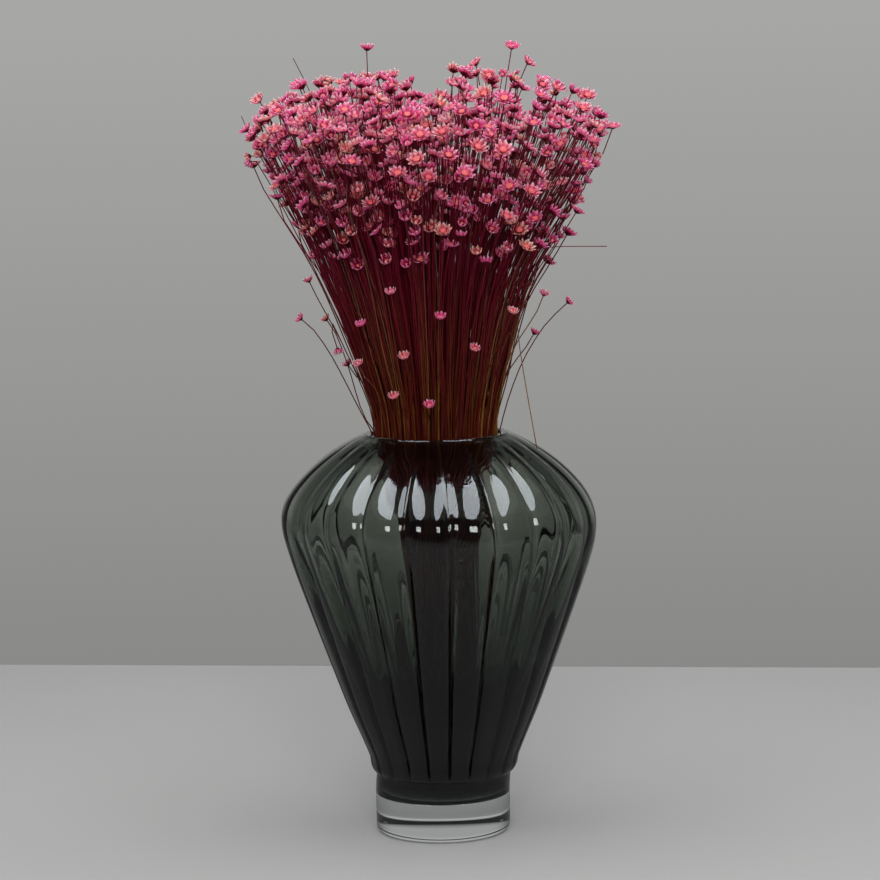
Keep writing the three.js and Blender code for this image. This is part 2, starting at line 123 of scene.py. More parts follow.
# Clear foot
FOOT_RADIUS = 42
FOOT_HEIGHT = 24.4
FOOT_EDGE = 3.2
FOOT_EDGE_RISE = 4.6
FOOT_EDGE_ROWS = 12
FOOT_UNDER_ROWS = (0.6, 0.2)
FOOT_LOW_ROWS = (4.9, 5.4, 12)
FOOT_HIGH_ROWS = (0.7, 0.4, 0.2)
FOOT_GAP = 0.06
FOOT_COLUMNS = 160
JOINT_RADIUS = 29

# The bunch: levels, and the radius of the whole sheaf of stems at each
STEM_FOOT = (86.5, 32.5)
STEM_LIFT = 0.5
STEM_WAIST = (176, 26)
STEM_START = (246, 39)
STEM_KNOT = (340, 67)
BUNCH_TOP = (484, 145)
WAIST_SHIFT = -2.2

# Halfway to the waist and from there to the mouth: share of the rise, sheaf's radius, share of the shift
BELOW_WAIST = (0.5, 28, 0.5)
ABOVE_WAIST = (0.55, 31, 0.9)

# How close to its place in the bunch a stem stands at the foot, waist and mouth, and how far it strays
FOOT_PLACE = (0.8, 0.5)
WAIST_PLACE = (0.95, 0.3)
MOUTH_PLACE = (1.02, 0.12)
MOUTH_EVENING = -0.25
SHEAF_LIMIT = 0.985
SPREAD_EASING = 0.7
SWAY = 3.4
SWAY_SHARES = (0.09, 0.3, 0.62)

# Shares by which the stems are drawn in at each level, on the left and on the right
GATHER_LEVELS = (246, 262, 285, 315, 370, 430)
GATHER_LEFT = (0.03, 0.11, 0.08, 0, 0, 0)
GATHER_RIGHT = (0.03, 0.11, 0.1, 0.1, 0.1, 0)
GATHER_CHANGE = (-20, 20)

# The layout of the main stems and their heads, by the same rule as the frame's solids
SPRAY_RINGS = ((3, 0.125, 0.4), (9, 0.37, 0.1), (16, 0.62, 0.25), (22, 0.87, 0))
SPRAY_CELL = 0.141
SPRAY_SPREAD = 0.87
FULL_SPRAY = 7
THIN_SPRAY = 6
THIN_SIDE = 0.3
STEM_REACH = (0.4, 0.95)
SECTOR_JITTER = 0.5
CELL_MARGIN = 0.03
LAYOUT_TRIES = 14
SEED = 20451
OPEN_RADIUS = 6.1
SHUT_RADIUS = 3.4
OPEN_RISE = 3
SHUT_RISE = 5.4
DISC_RISE = 1.8
LEAST_OPEN = 0.5
OPEN_SPREAD = 0.9
LOOSE_HEAD_OPEN = 0.45
HEAD_TILT = 0.8
DOME_TOP = 472
DOME_FALL = 42
CLEFT_DEPTH = 18
CLEFT_WIDTH = 14
HEAD_DEPTH_SPREAD = 104
HEAD_DEPTH_BIAS = 1.3
LOWEST_HEAD = 352
LOWEST_HEAD_SPREAD = 6
HEAD_TRIES = 60
CLEARANCE = 0.25
STEM_CLEARANCE = 0.75

# Heads that draw the bunch's outline: across, depth, level
OUTLINE_HEADS = (
    (-38.3, -8, 484.1), (50, 10, 484.1), (-25.2, 22, 468.4), (-54.5, 26, 464.2), (-44.2, -34, 463.6),
    (13.9, -20, 470.2), (28.6, 14, 474.5), (37, -26, 464.2), (58.4, -18, 474.5), (77.8, 8, 460),
    (94.8, -12, 453.9), (98.3, 26, 438.1), (111.1, 6, 434.5), (97.4, -22, 412), (-104.8, 12, 454.5),
    (-110.7, -20, 436.9), (-104.8, 34, 430), (-109, 4, 414.4), (-93.5, -24, 395.5),
)

# Heads that stand off the sheaf's side: azimuth from the front, level, reach and lean
LOW_HEADS = (
    (-4, 271, 6, 62), (-27, 276, 6, 50), (-50, 295, 6, 48), (-40, 320, 6.5, 40), (-17, 301, 6, 55),
    (-20, 340, 7, 38), (3, 325, 7, 52), (22, 305, 6, 60), (42, 326, 6.5, 44), (66, 335, 7, 34),
    (-88, 344, 7, 40), (-112, 290, 6, 58), (-138, 322, 6.5, 46), (-163, 278, 6, 60), (178, 318, 7, 50),
    (151, 296, 6, 44), (127, 336, 7, 40), (106, 308, 6.5, 52),
)
LOW_HEAD_LIFT = 0.6

# Stems that hang out over the lip: points from the lip to the head, and the head's lean
DROOPING_STEMS = (
    (((-46.5, -3, 264), (-63.8, -6, 299.3), (-81, -8, 321.5)), 52),
    (((44.5, 4, 268), (54.5, 5, 293), (67, 6, 313), (82, 6, 328)), 50),
    (((-45, 10, 260), (-54.5, 14, 292), (-66.5, 15, 319)), 38),
)

# Stems whose heads nod: points up to the head, and the way that the head faces
NODDING_STEMS = (
    (
        ((-34, -8, 262), (-62, -14, 330), (-96, -10, 400), (-108, -6, 421), (-110.5, -4, 419)),
        (-0.5, -0.2, -0.8),
    ),
    (
        ((-33, 4, 262), (-64, 8, 335), (-99, 8, 410), (-107, 8, 425), (-111, 8, 422)),
        (-0.85, 0.1, -0.4),
    ),
    (
        ((-36, -14, 262), (-53, -20, 300), (-63, -20, 322), (-63.5, -20, 320), (-59.5, -20, 305)),
        (0.3, -0.1, -0.95),
    ),
)
NODDING_HEAD_OPEN = 0.3

# Stems that have lost their heads: their points, and their tint
BARE_STEMS = (
    (((-26, 2, 262), (-39, 2, 350), (-68.8, 0, 449), (-83.4, 0, 480.7)), 0.8),
    (((-32, 8, 262), (-62, 10, 350), (-103.7, 4, 419.2), (-115.9, 2, 446)), 0.8),
    (((2, -12, 262), (6, -16, 350), (6.8, -10, 442.9), (4, -8, 461.2)), 0.7),
    (((26, -18, 262), (44, -24, 342), (56, -20, 361), (70.6, -14, 363.8), (106.2, -8, 363.4)), 0.4),
    (
        (
            (30, -16, 262), (47, -24, 318), (50.6, -26, 316), (51.6, -26, 303.7), (57, -25, 268),
            (61.5, -23, 241),
        ),
        1,
    ),
)
BARE_THICKNESS = 0.75

# Loose stems: level and radius where they pass the lip and just above it, how far they lie outside
# the sheaf, and their way up from the glass floor
LIP_PASS = (248, 38.75)
LIP_ELBOW = (262, 39.4)
SHEAF_SKIN = 1.4
ROOT_LEVEL = 236
ROOT_SHEAF = 35.2
ROOT_FOOT_SHARE = 0.93
ROOT_WAIST_SHARE = 0.97

# Thinner stems between the main ones: how many to a full spray and to a thin one, how deep their
# heads lie below the bunch's top, how open these are, and how far they may overlap the others
Between = namedtuple("Between", "full thin depth bias openness overlap")
FILLERS = Between(15, 7, 90, 1.4, (0.1, 1.0), 1.4)
BUDS = Between(6, 4, 90, 1.1, (0.0, 0.35), 1.6)
FILLER_SEED = SEED + 7001
BUD_SEED = SEED + 7002
BETWEEN_TOP_GAP = 2
BETWEEN_LOWEST_SPREAD = 26
PLACE_TRIES = 24
WIDEST_PLACE = 0.93

# Stems, thickest at their feet; their shading changes between the levels of STEM_RISE
SPRAY_SEED = SEED + 9000
STEM_RADIUS_LOW = 0.44
STEM_RADIUS_HIGH = 0.33
STEM_RISE = (180, 480)
NECK_APPROACH = 7
NECK_SLACK = 0.12
NECK_STRAIGHT = 2.2
NECK_IN_HEAD = 0.4

# How finely a kind of stem is drawn and its head made up: numbers of scales and of bracts, at least
# and at most, in the outer and the inner row
Detail = namedtuple("Detail", "thickness sides steps size scales outer inner bract_steps")
MAIN = Detail(1.0, 5, 24, 1.06, 7, (9, 11), (6, 7), 5)
FILLER = Detail(0.88, 4, 19, 1.06, 5, (8, 10), None, 4)
BUD = Detail(0.82, 4, 16, 0.88, 5, (6, 7), None, 4)
STRAY = Detail(0.9, 5, 26, 0.84, 8, (9, 11), (6, 7), 5)

# A head's make-up, shut and open, for a head of size 1: reach out from its axis and rise along it
SEAT_RADIUS = (1.9, 2.35)
SCALE_ROOT = (0.8, 0.2)
SCALE_BEND = (2.2, 0.8)
SCALE_TIP_REACH = (2.3, 3.3)
SCALE_TIP_RISE = (3.0, 2.3)
OUTER_BEND_REACH = (3.4, 3.3)
OUTER_BEND_RISE = (1.9, 2.1)
INNER_BEND_REACH = (2.5, 2.9)
INNER_BEND_RISE = (2.4, 2.3)
OUTER_TIP_RISE = (SHUT_RISE, OPEN_RISE + 0.3)
DISC_RADIUS = (1.0, 2.3)
DISC_TOP = (2.3, DISC_RISE + 0.6)

# Roots of the bracts: share of the seat's radius, and rise; the disc's form: share of its radius,
# and rise above its top
OUTER_ROOT = (0.8, 1.1)
INNER_ROOT = (0.7, 1.4)
DISC_PROFILE = ((0.92, -0.6), (1, -0.2), (0.7, 0.25), (0.3, 0.4))

# Widths of all the scales or bracts of a row side by side, for a head of size 1
SCALES_WIDTH = 13.5
OUTER_WIDTH = (21, 28)
INNER_WIDTH = 16

# How unlike one another the scales and bracts of a head are: shares of their step round it, and
# shares of their length, rise or width, from least to most
SCALE_JITTER = 0.25
SCALE_LENGTHS = (0.9, 1.1)
OUTER_JITTER = 0.3
OUTER_SPANS = (0.84, 1.0)
OUTER_LIFTS = (0.88, 1.12)
OUTER_DROP = (0.94, 1.0)
OUTER_WIDTHS = (0.85, 1.15)
OUTER_LEAN = 0.5
INNER_JITTER = 0.4
INNER_SPANS = (0.58, 0.72)
INNER_LIFTS = (0.98, 1.1)
ALMOST_SHUT = 0.3

# How finely the parts of a head are drawn, and the cup's shading from its root to its rim
CUP_SIDES = 7
CUP_SHADES = (0, 0.1, 0.3, 0.45)
DISC_SIDES = 8
SCALE_STEPS = 3
INNER_STEPS = 4

# Ways to which no stem and no head stands parallel, for turning their rings
TUBE_GUIDE = (0.31, 0.95, 0.05)
HEAD_GUIDE = (0.2, 0.9, 0.35)

# Steps along a bract and its width at each, for bracts of three to five steps
BRACT_FORMS = {
    3: (np.array([0.0, 0.6, 1.0]), np.array([0.7, 1.0, 0.1])),
    4: (np.array([0.0, 0.38, 0.76, 1.0]), np.array([0.7, 1.0, 0.74, 0.06])),
    5: (np.array([0.0, 0.32, 0.6, 0.85, 1.0]), np.array([0.68, 1.0, 0.92, 0.58, 0.06])),
}
BRACT_THICKNESS = 0.06
BRACT_FOLD = 0.22

# The order of the finishes on a spray
STEM_SKIN, BRACT_PAPER, CUP_SCALE, DISC_FLORETS = range(4)


def lerp(start, end, share):
    return (1 - share) * start + share * end


def clamp(value, low, high):
    return max(low, min(high, value))


def eased_between(value, low, high):
    """From 0 at the low value to 1 at the high one, level at both ends"""
    share = clamp((value - low) / (high - low), 0, 1)
    return share * share * (3 - 2 * share)


def unit(vector):
    return vector / np.linalg.norm(vector)


def vec(*parts):
    return np.array(parts, dtype=float)


def seeded_random(seed):
    """Repeatable random numbers from 0 to 1, the same ones that laid out the frame's solids"""
    mask = 0xFFFFFFFF
    state = seed & mask

    def draw():
        nonlocal state
        state = (state + 0x6D2B79F5) & mask
        mixed = ((state ^ (state >> 15)) * (1 | state)) & mask
        mixed = ((mixed + (mixed ^ (mixed >> 7)) * (61 | mixed)) & mask) ^ mixed
        return (mixed ^ (mixed >> 14)) / 4294967296

    return draw


# Meshes


class Growth:
    """Gathers the corners and faces of one piece, with shading values at each corner"""

    def __init__(self):
        self.points = []
        self.faces = []
        self.finishes = []
        self.reach = []
        self.tint = []
        self.count = 0

    def corners(self, points, reach, tint):
        points = np.asarray(points, dtype=float).reshape(-1, 3)
        first = self.count
        self.points.append(points)
        self.reach.append(np.broadcast_to(np.asarray(reach, dtype=float), len(points)))
        self.tint.append(np.full(len(points), float(tint)))
        self.count += len(points)
        return first

    def face(self, corners, finish):
        self.faces.append(corners)
        self.finishes.append(finish)

    def rings(self, rings, finish, reach, tint):
        """Joins rings of corners, each as long as the next, into a tube closed at both ends"""
        rings = np.asarray(rings, dtype=float)
        count, sides = rings.shape[:2]
        along = np.repeat(np.broadcast_to(reach, count), sides)
        first = self.corners(rings, along, tint)
        for ring in range(count - 1):
            low = first + ring * sides
            for side in range(sides):
                after = (side + 1) % sides
                self.face((low + side, low + after, low + sides + after, low + sides + side), finish)
        last = first + (count - 1) * sides
        self.face(tuple(first + side for side in reversed(range(sides))), finish)
        self.face(tuple(last + side for side in range(sides)), finish)

    def piece(self, name, finishes):
        mesh = bpy.data.meshes.new(name)
        points = np.clip(np.concatenate(self.points) * MM, *INSIDE)
        mesh.from_pydata(points.tolist(), [], self.faces)
        for finish in finishes:
            mesh.materials.append(finish)
        mesh.polygons.foreach_set("material_index", self.finishes)
        mesh.polygons.foreach_set("use_smooth", [True] * len(self.faces))
        for label, values in (("reach", self.reach), ("tint", self.tint)):
            layer = mesh.attributes.new(label, "FLOAT", "POINT")
            layer.data.foreach_set("value", np.concatenate(values).astype(np.float32))
        mesh.update()
        made = bpy.data.objects.new(name, mesh)
        bpy.context.scene.collection.objects.link(made)
        return made


# Shading


def tone(red, green, blue):
    """A colour given as a screen shows it, as the linear values a shader takes"""

    def linear(part):
        part /= 255
        return part / 12.92 if part <= 0.04045 else ((part + 0.055) / 1.055) ** 2.4

    return (linear(red), linear(green), linear(blue), 1)


class Signal:
    """A shader value: Python's operators on it add Math nodes"""

    def __init__(self, finish, socket):
        self.finish = finish
        self.socket = socket

    def __add__(self, other):
        return self.finish.maths("ADD", self, other)

    def __radd__(self, other):
        return self.finish.maths("ADD", other, self)

    def __sub__(self, other):
        return self.finish.maths("SUBTRACT", self, other)

    def __rsub__(self, other):
        return self.finish.maths("SUBTRACT", other, self)

    def __mul__(self, other):
        return self.finish.maths("MULTIPLY", self, other)

    def __rmul__(self, other):
        return self.finish.maths("MULTIPLY", other, self)


class Finish:
    """One node tree, of a material or of the studio's surroundings"""

    def __init__(self, holder):
        holder.use_nodes = True
        self.holder = holder
        self.tree = holder.node_tree
        self.tree.nodes.clear()

    def node(self, kind, settings=None, sockets=None, output=0):
        made = self.tree.nodes.new(kind)
        for name, value in (settings or {}).items():
            if name == "stops":
                self.set_stops(made.color_ramp, value)
            else:
                setattr(made, name, value)
        for key, value in (sockets or {}).items():
            if isinstance(value, Signal):
                self.tree.links.new(value.socket, made.inputs[key])
            else:
                made.inputs[key].default_value = value
        return Signal(self, made.outputs[output]) if made.outputs else None

    @staticmethod
    def set_stops(ramp, stops):
        while len(ramp.elements) < len(stops):
            ramp.elements.new(1)
        for element, (position, colour) in zip(ramp.elements, stops):
            element.position = position
            element.color = colour

    def maths(self, operation, first, second):
        return self.node("ShaderNodeMath", {"operation": operation}, {0: first, 1: second})

    def clipped(self, value, low, high):
        """0 at the low value, 1 at the high one, held beyond both"""
        sockets = {"Value": value, "From Min": low, "From Max": high}
        return self.node("ShaderNodeMapRange", {"clamp": True}, sockets)

    def blend(self, share, first, second):
        """A mix of two colours; sockets 6 and 7 and output 2 are the Mix node's colours"""
        settings = {"data_type": "RGBA", "blend_type": "MIX", "clamp_factor": True}
        return self.node("ShaderNodeMix", settings, {0: share, 6: first, 7: second}, output=2)

    def ramp(self, value, *stops):
        """Colours along a value from 0 to 1, each stop a position and a screen colour"""
        stops = [(position, tone(*colour)) for position, colour in stops]
        return self.node("ShaderNodeValToRGB", {"stops": stops}, {"Fac": value})

    def held(self, name):
        """A value kept at the corners of the mesh"""
        return self.node("ShaderNodeAttribute", {"attribute_name": name}, output="Fac")

    def place(self):
        return self.node("ShaderNodeTexCoord", output="Object")

    def noise(self, scale, detail=2.0):
        sockets = {"Vector": self.place(), "Scale": scale, "Detail": detail, "Roughness": 0.5}
        return self.node("ShaderNodeTexNoise", {}, sockets)

    def bump(self, height, strength, distance):
        sockets = {"Strength": strength, "Distance": distance, "Height": height}
        return self.node("ShaderNodeBump", {}, sockets)

    def surface(self, **sockets):
        """The main shader; a socket's name is given with _ for each space"""
        named = {name.replace("_", " "): value for name, value in sockets.items()}
        return self.node("ShaderNodeBsdfPrincipled", {}, named)

    def depth_colour(self, colour, density):
        """The colour that light takes on along its way through glass"""
        return self.node("ShaderNodeVolumeAbsorption", {}, {"Color": colour, "Density": density})

    def show(self, surface, volume=None):
        sockets = {"Surface": surface}
        if volume:
            sockets["Volume"] = volume
        self.node("ShaderNodeOutputMaterial", {}, sockets)
        return self.holder


def material(name):
    return Finish(bpy.data.materials.new(name))


def smoked_glass():
    finish = material("smoked_glass")
    ripple = finish.bump(finish.noise(45, detail=1.0), 0.12, 0.0006)
    glass = finish.surface(
        Base_Color=(1, 1, 1, 1),
        Roughness=0.012,
        IOR=1.41,
        Transmission_Weight=1.0,
        Alpha=1 - finish.held("reach"),
        Normal=ripple,
    )
    return finish.show(glass, finish.depth_colour((0.615, 0.65, 0.607, 1), 400.0))


def clear_glass():
    finish = material("clear_glass")
    ripple = finish.bump(finish.noise(30, detail=1.0), 0.08, 0.0006)
    glass = finish.surface(
        Base_Color=(1, 1, 1, 1),
        Roughness=0.01,
        IOR=1.5,
        Transmission_Weight=1.0,
        Alpha=1 - finish.held("reach"),
        Normal=ripple,
    )
    return finish.show(glass, finish.depth_colour((0.95, 0.975, 0.965, 1), 14.0))


def stem_skin():
    finish = material("stem_skin")
    rise = finish.held("reach")
    tint = finish.held("tint")
    low = finish.ramp(
        tint,
        (0.0, (76, 20, 9)), (0.3, (92, 26, 13)), (0.55, (76, 14, 15)),
        (0.78, (104, 53, 18)), (1.0, (134, 92, 38)),
    )
    high = finish.ramp(
        tint,
        (0.0, (94, 7, 27)), (0.4, (118, 13, 40)), (0.72, (78, 9, 23)),
        (0.88, (104, 40, 44)), (1.0, (104, 72, 64)),
    )
    mottle = finish.noise(240, detail=3.0)
    share = finish.clipped(rise + (mottle - 0.5) * 0.25, 0.3, 0.6)
    colour = finish.blend(share, low, high)
    # Painted shade: below the vase's mouth, where the stems stand inside the smoked glass, their colour
    # is darkened towards a dark brown
    colour = finish.blend(finish.clipped(rise, 0.22, 0.1) * 0.8, colour, tone(58, 26, 20))
    colour = finish.blend(finish.clipped(mottle, 0.45, 0.75) * 0.3, colour, tone(54, 16, 18))
    fibres = finish.bump(finish.noise(1800, detail=2.0), 0.4, 0.0001)
    skin = finish.surface(Base_Color=colour, Roughness=0.6, Specular_IOR_Level=0.08, Normal=fibres)
    return finish.show(skin)


def bract_paper():
    finish = material("bract_paper")
    reach = finish.held("reach")
    tint = finish.held("tint")
    root = finish.ramp(
        tint,
        (0.0, (247, 60, 128)), (0.45, (252, 82, 136)), (0.8, (253, 100, 126)), (1.0, (252, 136, 122)),
    )
    tip = finish.ramp(
        tint,
        (0.0, (250, 154, 192)), (0.45, (253, 182, 205)), (0.8, (254, 204, 208)), (1.0, (254, 220, 200)),
    )
    fleck = finish.noise(700, detail=2.0)
    share = finish.clipped(reach + (fleck - 0.5) * 0.4, 0.6, 1.15)
    colour = finish.blend(share, root, tip)
    veins = finish.bump(finish.noise(2600, detail=2.0), 0.3, 0.0001)
    paper = finish.surface(
        Base_Color=colour,
        Roughness=0.36,
        Specular_IOR_Level=0.3,
        Coat_Weight=0.12,
        Coat_Roughness=0.2,
        Subsurface_Weight=0.55,
        Subsurface_Radius=(1.0, 0.4, 0.5),
        Subsurface_Scale=0.0012,
        Normal=veins,
    )
    return finish.show(paper)


def cup_scale():
    finish = material("cup_scale")
    reach = finish.held("reach")
    grain = finish.noise(1500, detail=2.0)
    colour = finish.blend(finish.clipped(reach, 0.5, 1.0), tone(92, 4, 30), tone(196, 40, 92))
    colour = finish.blend(finish.clipped(grain, 0.5, 0.8) * 0.4, colour, tone(62, 8, 24))
    ridges = finish.bump(grain, 0.4, 0.0001)
    scale = finish.surface(Base_Color=colour, Roughness=0.5, Specular_IOR_Level=0.15, Normal=ridges)
    return finish.show(scale)


def disc_florets():
    finish = material("disc_florets")
    tint = finish.held("tint")
    cells = finish.node("ShaderNodeTexVoronoi", {}, {"Vector": finish.place(), "Scale": 2400.0})
    colour = finish.blend(tint, tone(226, 84, 98), tone(236, 116, 108))
    colour = finish.blend(finish.clipped(cells, 0.25, 0.7) * 0.5, colour, tone(176, 48, 66))
    beads = finish.bump(1 - cells, 0.6, 0.0002)
    florets = finish.surface(Base_Color=colour, Roughness=0.6, Specular_IOR_Level=0.3, Normal=beads)
    return finish.show(florets)


def table_top():
    finish = material("table_top")
    drift = finish.noise(3, detail=3.0)
    colour = finish.blend(drift, tone(182, 182, 182), tone(187, 187, 186))
    grain = finish.bump(finish.noise(900, detail=2.0), 0.05, 0.0002)
    top = finish.surface(Base_Color=colour, Roughness=0.5, Specular_IOR_Level=0.15, Normal=grain)
    return finish.show(top)


# Vase


def outer_radius(level):
    swell, middle, width = SHOULDER_SWELL
    radius = WIDEST_RADIUS + swell * math.exp(-(((level - middle) / width) ** 2))
    rise = level - WIDEST_LEVEL
    if rise >= 0:
        return radius - SHOULDER_SPAN * (1 - math.sqrt(1 - (rise / SHOULDER_RISE) ** 2))
    drawn = CONE_DRAW_IN[0] * (1 - eased_between(level, LOBE_END_LEVEL, CONE_DRAW_IN[1]))
    return radius - drawn - CONE_SLOPE * (math.hypot(rise, CONE_ROUNDING) - CONE_ROUNDING)


def off_axis(level):
    """How far to the right the glass stands at a level"""
    cone = lerp(FOOT_ASIDE, CONE_ASIDE, eased_between(level, FOOT_HEIGHT, LOBE_END_LEVEL))
    return cone * (1 - eased_between(level, *STRAIGHTENING))


def inner_point(level):
    """The inside face, one wall's thickness in from the outside, square to it"""
    step = 0.01
    slope = (outer_radius(level + step) - outer_radius(level - step)) / (2 * step)
    wall = GLASS_WALL + WALL_THICKENING * max(0, WIDEST_LEVEL - level)
    inward = wall / math.hypot(1, slope)
    return (outer_radius(level) - inward, level + inward * slope)


def flowing(points, count):
    """A smooth curve through the points, as evenly spaced points"""
    points = np.asarray(points, dtype=float)
    gaps = np.linalg.norm(np.diff(points, axis=0), axis=1)
    at = np.concatenate([[0], np.cumsum(np.maximum(gaps, 1e-6))])
    slopes = np.empty_like(points)
    slopes[1:-1] = (points[2:] - points[:-2]) / (at[2:] - at[:-2])[:, None]
    slopes[0] = (points[1] - points[0]) / (at[1] - at[0])
    slopes[-1] = (points[-1] - points[-2]) / (at[-1] - at[-2])
    where = np.linspace(0, at[-1], count)
    part = np.clip(np.searchsorted(at, where, side="right") - 1, 0, len(at) - 2)
    width = (at[part + 1] - at[part])[:, None]
    t = (where - at[part])[:, None] / width
    return (
        (2 * t**3 - 3 * t**2 + 1) * points[part]
        + (t**3 - 2 * t**2 + t) * width * slopes[part]
        + (3 * t**2 - 2 * t**3) * points[part + 1]
        + (t**3 - t**2) * width * slopes[part + 1]
    )


def corner_arc(centre, radius, start, end, count):
    """Points on an arc in the plane of radius and level; angles in degrees from outwards"""
    angles = np.radians(np.linspace(start, end, count))
    return [(centre[0] + radius * math.cos(a), centre[1] + radius * math.sin(a)) for a in angles]


def lobe_share(level):
    """How much of their depth the lobes have at a level, none at the lip"""
    return 1 - eased_between(level, LOBES_FULL_LEVEL, LIP_LEVEL)


def body_outline():
    """Radius, level and share of the lobes' depth, from the underside up and round into the inside"""
    near, far = EDGE_ROWS
    rows = [(radius, FOOT_HEIGHT, 0) for radius in (0, JOINT_RADIUS, JOINT_RADIUS + near)]
    rows += [(RING_RADIUS - far, FOOT_HEIGHT, 0), (RING_RADIUS - near, FOOT_HEIGHT, 0)]
    rows += [(RING_RADIUS, FOOT_HEIGHT + step, 0) for step in RING_LOW_ROWS]
    rows += [(RING_RADIUS, RING_TOP - step, 0) for step in RING_HIGH_ROWS]
    low_radius = outer_radius(LOBE_END_LEVEL)
    for angle in 0.5 * math.pi * np.linspace(0, 1, RING_CORNER_ROWS):
        radius = lerp(RING_RADIUS + far, low_radius, math.sin(angle) ** RING_CORNER_FULLNESS)
        rows.append((radius, lerp(LOBE_END_LEVEL, RING_TOP, math.cos(angle)), math.sin(angle)))
    for start, end, count in BODY_ROWS:
        for level in np.linspace(start, end, count)[1:]:
            rows.append((outer_radius(level), level, lobe_share(level)))
    for radius, start, end in ((LIP_OUTER - LIP_ROUNDING, 10, 90), (LIP_INNER + LIP_ROUNDING, 90, 180)):
        centre = (radius, LIP_LEVEL - LIP_ROUNDING)
        rows += [(*point, 0) for point in corner_arc(centre, LIP_ROUNDING, start, end, LIP_ROWS)]
    inside = [(LIP_INNER, INSIDE_TOP), *map(inner_point, INSIDE_LEVELS), *GLASS_FLOOR_BEND]
    for radius, level in flowing(inside, INSIDE_ROWS):
        follow = (radius - INNER_LOBES_START) / (INNER_LOBES_FULL - INNER_LOBES_START)
        rows.append((radius, level, lobe_share(level) * clamp(follow, 0, INNER_LOBE_SHARE)))
    rows += [(GLASS_FLOOR_MIDDLE, GLASS_FLOOR_LEVEL, 0), (0, GLASS_FLOOR_LEVEL, 0)]
    return rows


def lobe_fall(azimuth, level):
    """How far the surface lies below the lobes' crowns, as a share of their depth"""
    high = eased_between(level, *SECTION_CHANGE)
    soft = lerp(*GROOVE_SOFTNESS, high)
    turn = LOBES * (azimuth - GROOVE_AZIMUTH) / FULL_TURN
    away = 2 * abs(turn - round(turn))
    eased = (math.hypot(away, soft) - soft) / (math.hypot(1, soft) - soft)
    deepening = lerp(*GROOVE_DEEPENING, eased_between(level, *DEPTH_CHANGE))
    return deepening * (1 - eased) ** lerp(*GROOVE_NARROWNESS, high)


def lobe_columns():
    """Azimuths of the body's columns, close together at each groove"""
    shares = (1 - np.cos(math.pi * np.arange(COLUMNS_PER_LOBE) / COLUMNS_PER_LOBE)) / 2
    turns = [lobe + share for lobe in range(LOBES) for share in shares]
    return [GROOVE_AZIMUTH + FULL_TURN * turn / LOBES for turn in turns]


def turned(growth, rows, azimuths, joint, fall=None):
    """A closed body of rows turned about the vertical axis; a row of radius 0 is one corner.

    The rows on the joint's level are marked: there the two glasses are fused.
    """
    columns = len(azimuths)
    below = None
    for radius, level, depth in rows:
        fused = float(level == joint and radius <= JOINT_RADIUS)
        aside = off_axis(level)
        if radius == 0:
            ring = [growth.corners(vec(aside, 0, level), fused, 0)]
        else:
            drop = [radius * LOBE_DEPTH_SHARE * depth * fall(a, level) if depth else 0 for a in azimuths]
            points = [
                (aside + (radius - d) * math.sin(a), -(radius - d) * math.cos(a), level)
                for a, d in zip(azimuths, drop)
            ]
            first = growth.corners(points, fused, 0)
            ring = list(range(first, first + columns))
        if below:
            for column in range(columns):
                after = (column + 1) % columns
                if len(below) == 1:
                    growth.face((below[0], ring[after], ring[column]), 0)
                elif len(ring) == 1:
                    growth.face((below[column], below[after], ring[0]), 0)
                else:
                    growth.face((below[column], below[after], ring[after], ring[column]), 0)
        below = ring


def make_body(glass):
    growth = Growth()
    turned(growth, body_outline(), lobe_columns(), FOOT_HEIGHT, lobe_fall)
    body = growth.piece("smoked_body", [glass])
    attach(body, "root")
    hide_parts("vase_cup")


def make_foot(glass):
    top = FOOT_HEIGHT - FOOT_GAP
    rows = [(0, 0, 0)]
    rows += [(FOOT_RADIUS - FOOT_EDGE - step, 0, 0) for step in FOOT_UNDER_ROWS]
    arc = corner_arc((FOOT_RADIUS - FOOT_EDGE, FOOT_EDGE), FOOT_EDGE, -90, 0, FOOT_EDGE_ROWS)
    rows += [(radius, level * FOOT_EDGE_RISE / FOOT_EDGE, 0) for radius, level in arc]
    rows += [(FOOT_RADIUS, level, 0) for level in FOOT_LOW_ROWS]
    rows += [(FOOT_RADIUS, top - step, 0) for step in FOOT_HIGH_ROWS]
    rows += [(FOOT_RADIUS - step, top, 0) for step in EDGE_ROWS]
    rows += [(radius, top, 0) for radius in (JOINT_RADIUS + EDGE_ROWS[0], JOINT_RADIUS, 0)]
    growth = Growth()
    turned(growth, rows, [FULL_TURN * column / FOOT_COLUMNS for column in range(FOOT_COLUMNS)], top)
    foot = growth.piece("clear_foot", [glass])
    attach(foot, "root")
    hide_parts("vase_foot")


# Layout of the bunch


def sheaf_radius(level):
    if level <= STEM_KNOT[0]:
        share = (level - STEM_START[0]) / (STEM_KNOT[0] - STEM_START[0])
        return lerp(STEM_START[1], STEM_KNOT[1], share)
    share = (level - STEM_KNOT[0]) / (BUNCH_TOP[0] - STEM_KNOT[0])
    return lerp(STEM_KNOT[1], BUNCH_TOP[1], share)


def in_sheaf(place, level):
    radius = sheaf_radius(level)
    return vec(place[0] * radius, place[1] * radius, level)


class Spray:
    """A group of stems: main ones, thin ones with small heads, loose ones and bare ones"""

    def __init__(self, centre):
        self.centre = centre
        self.stems = [None] * (THIN_SPRAY if centre[0] > THIN_SIDE else FULL_SPRAY)
        self.fillers = []
        self.buds = []
        self.loose = []
        self.bare = []


class Stem:
    """A stem by its place on a disc of radius 1, with its head's level where the outline sets it"""

    def __init__(self, place, level=None, head=None):
        self.place = place
        self.level = level
        self.top = None
        self.head = head


class Head:
    def __init__(self, base, axis, openness):
        self.base = base
        self.axis = axis
        self.openness = openness
        self.centre = base + DISC_RISE * axis
        self.radius = lerp(SHUT_RADIUS, OPEN_RADIUS, openness)


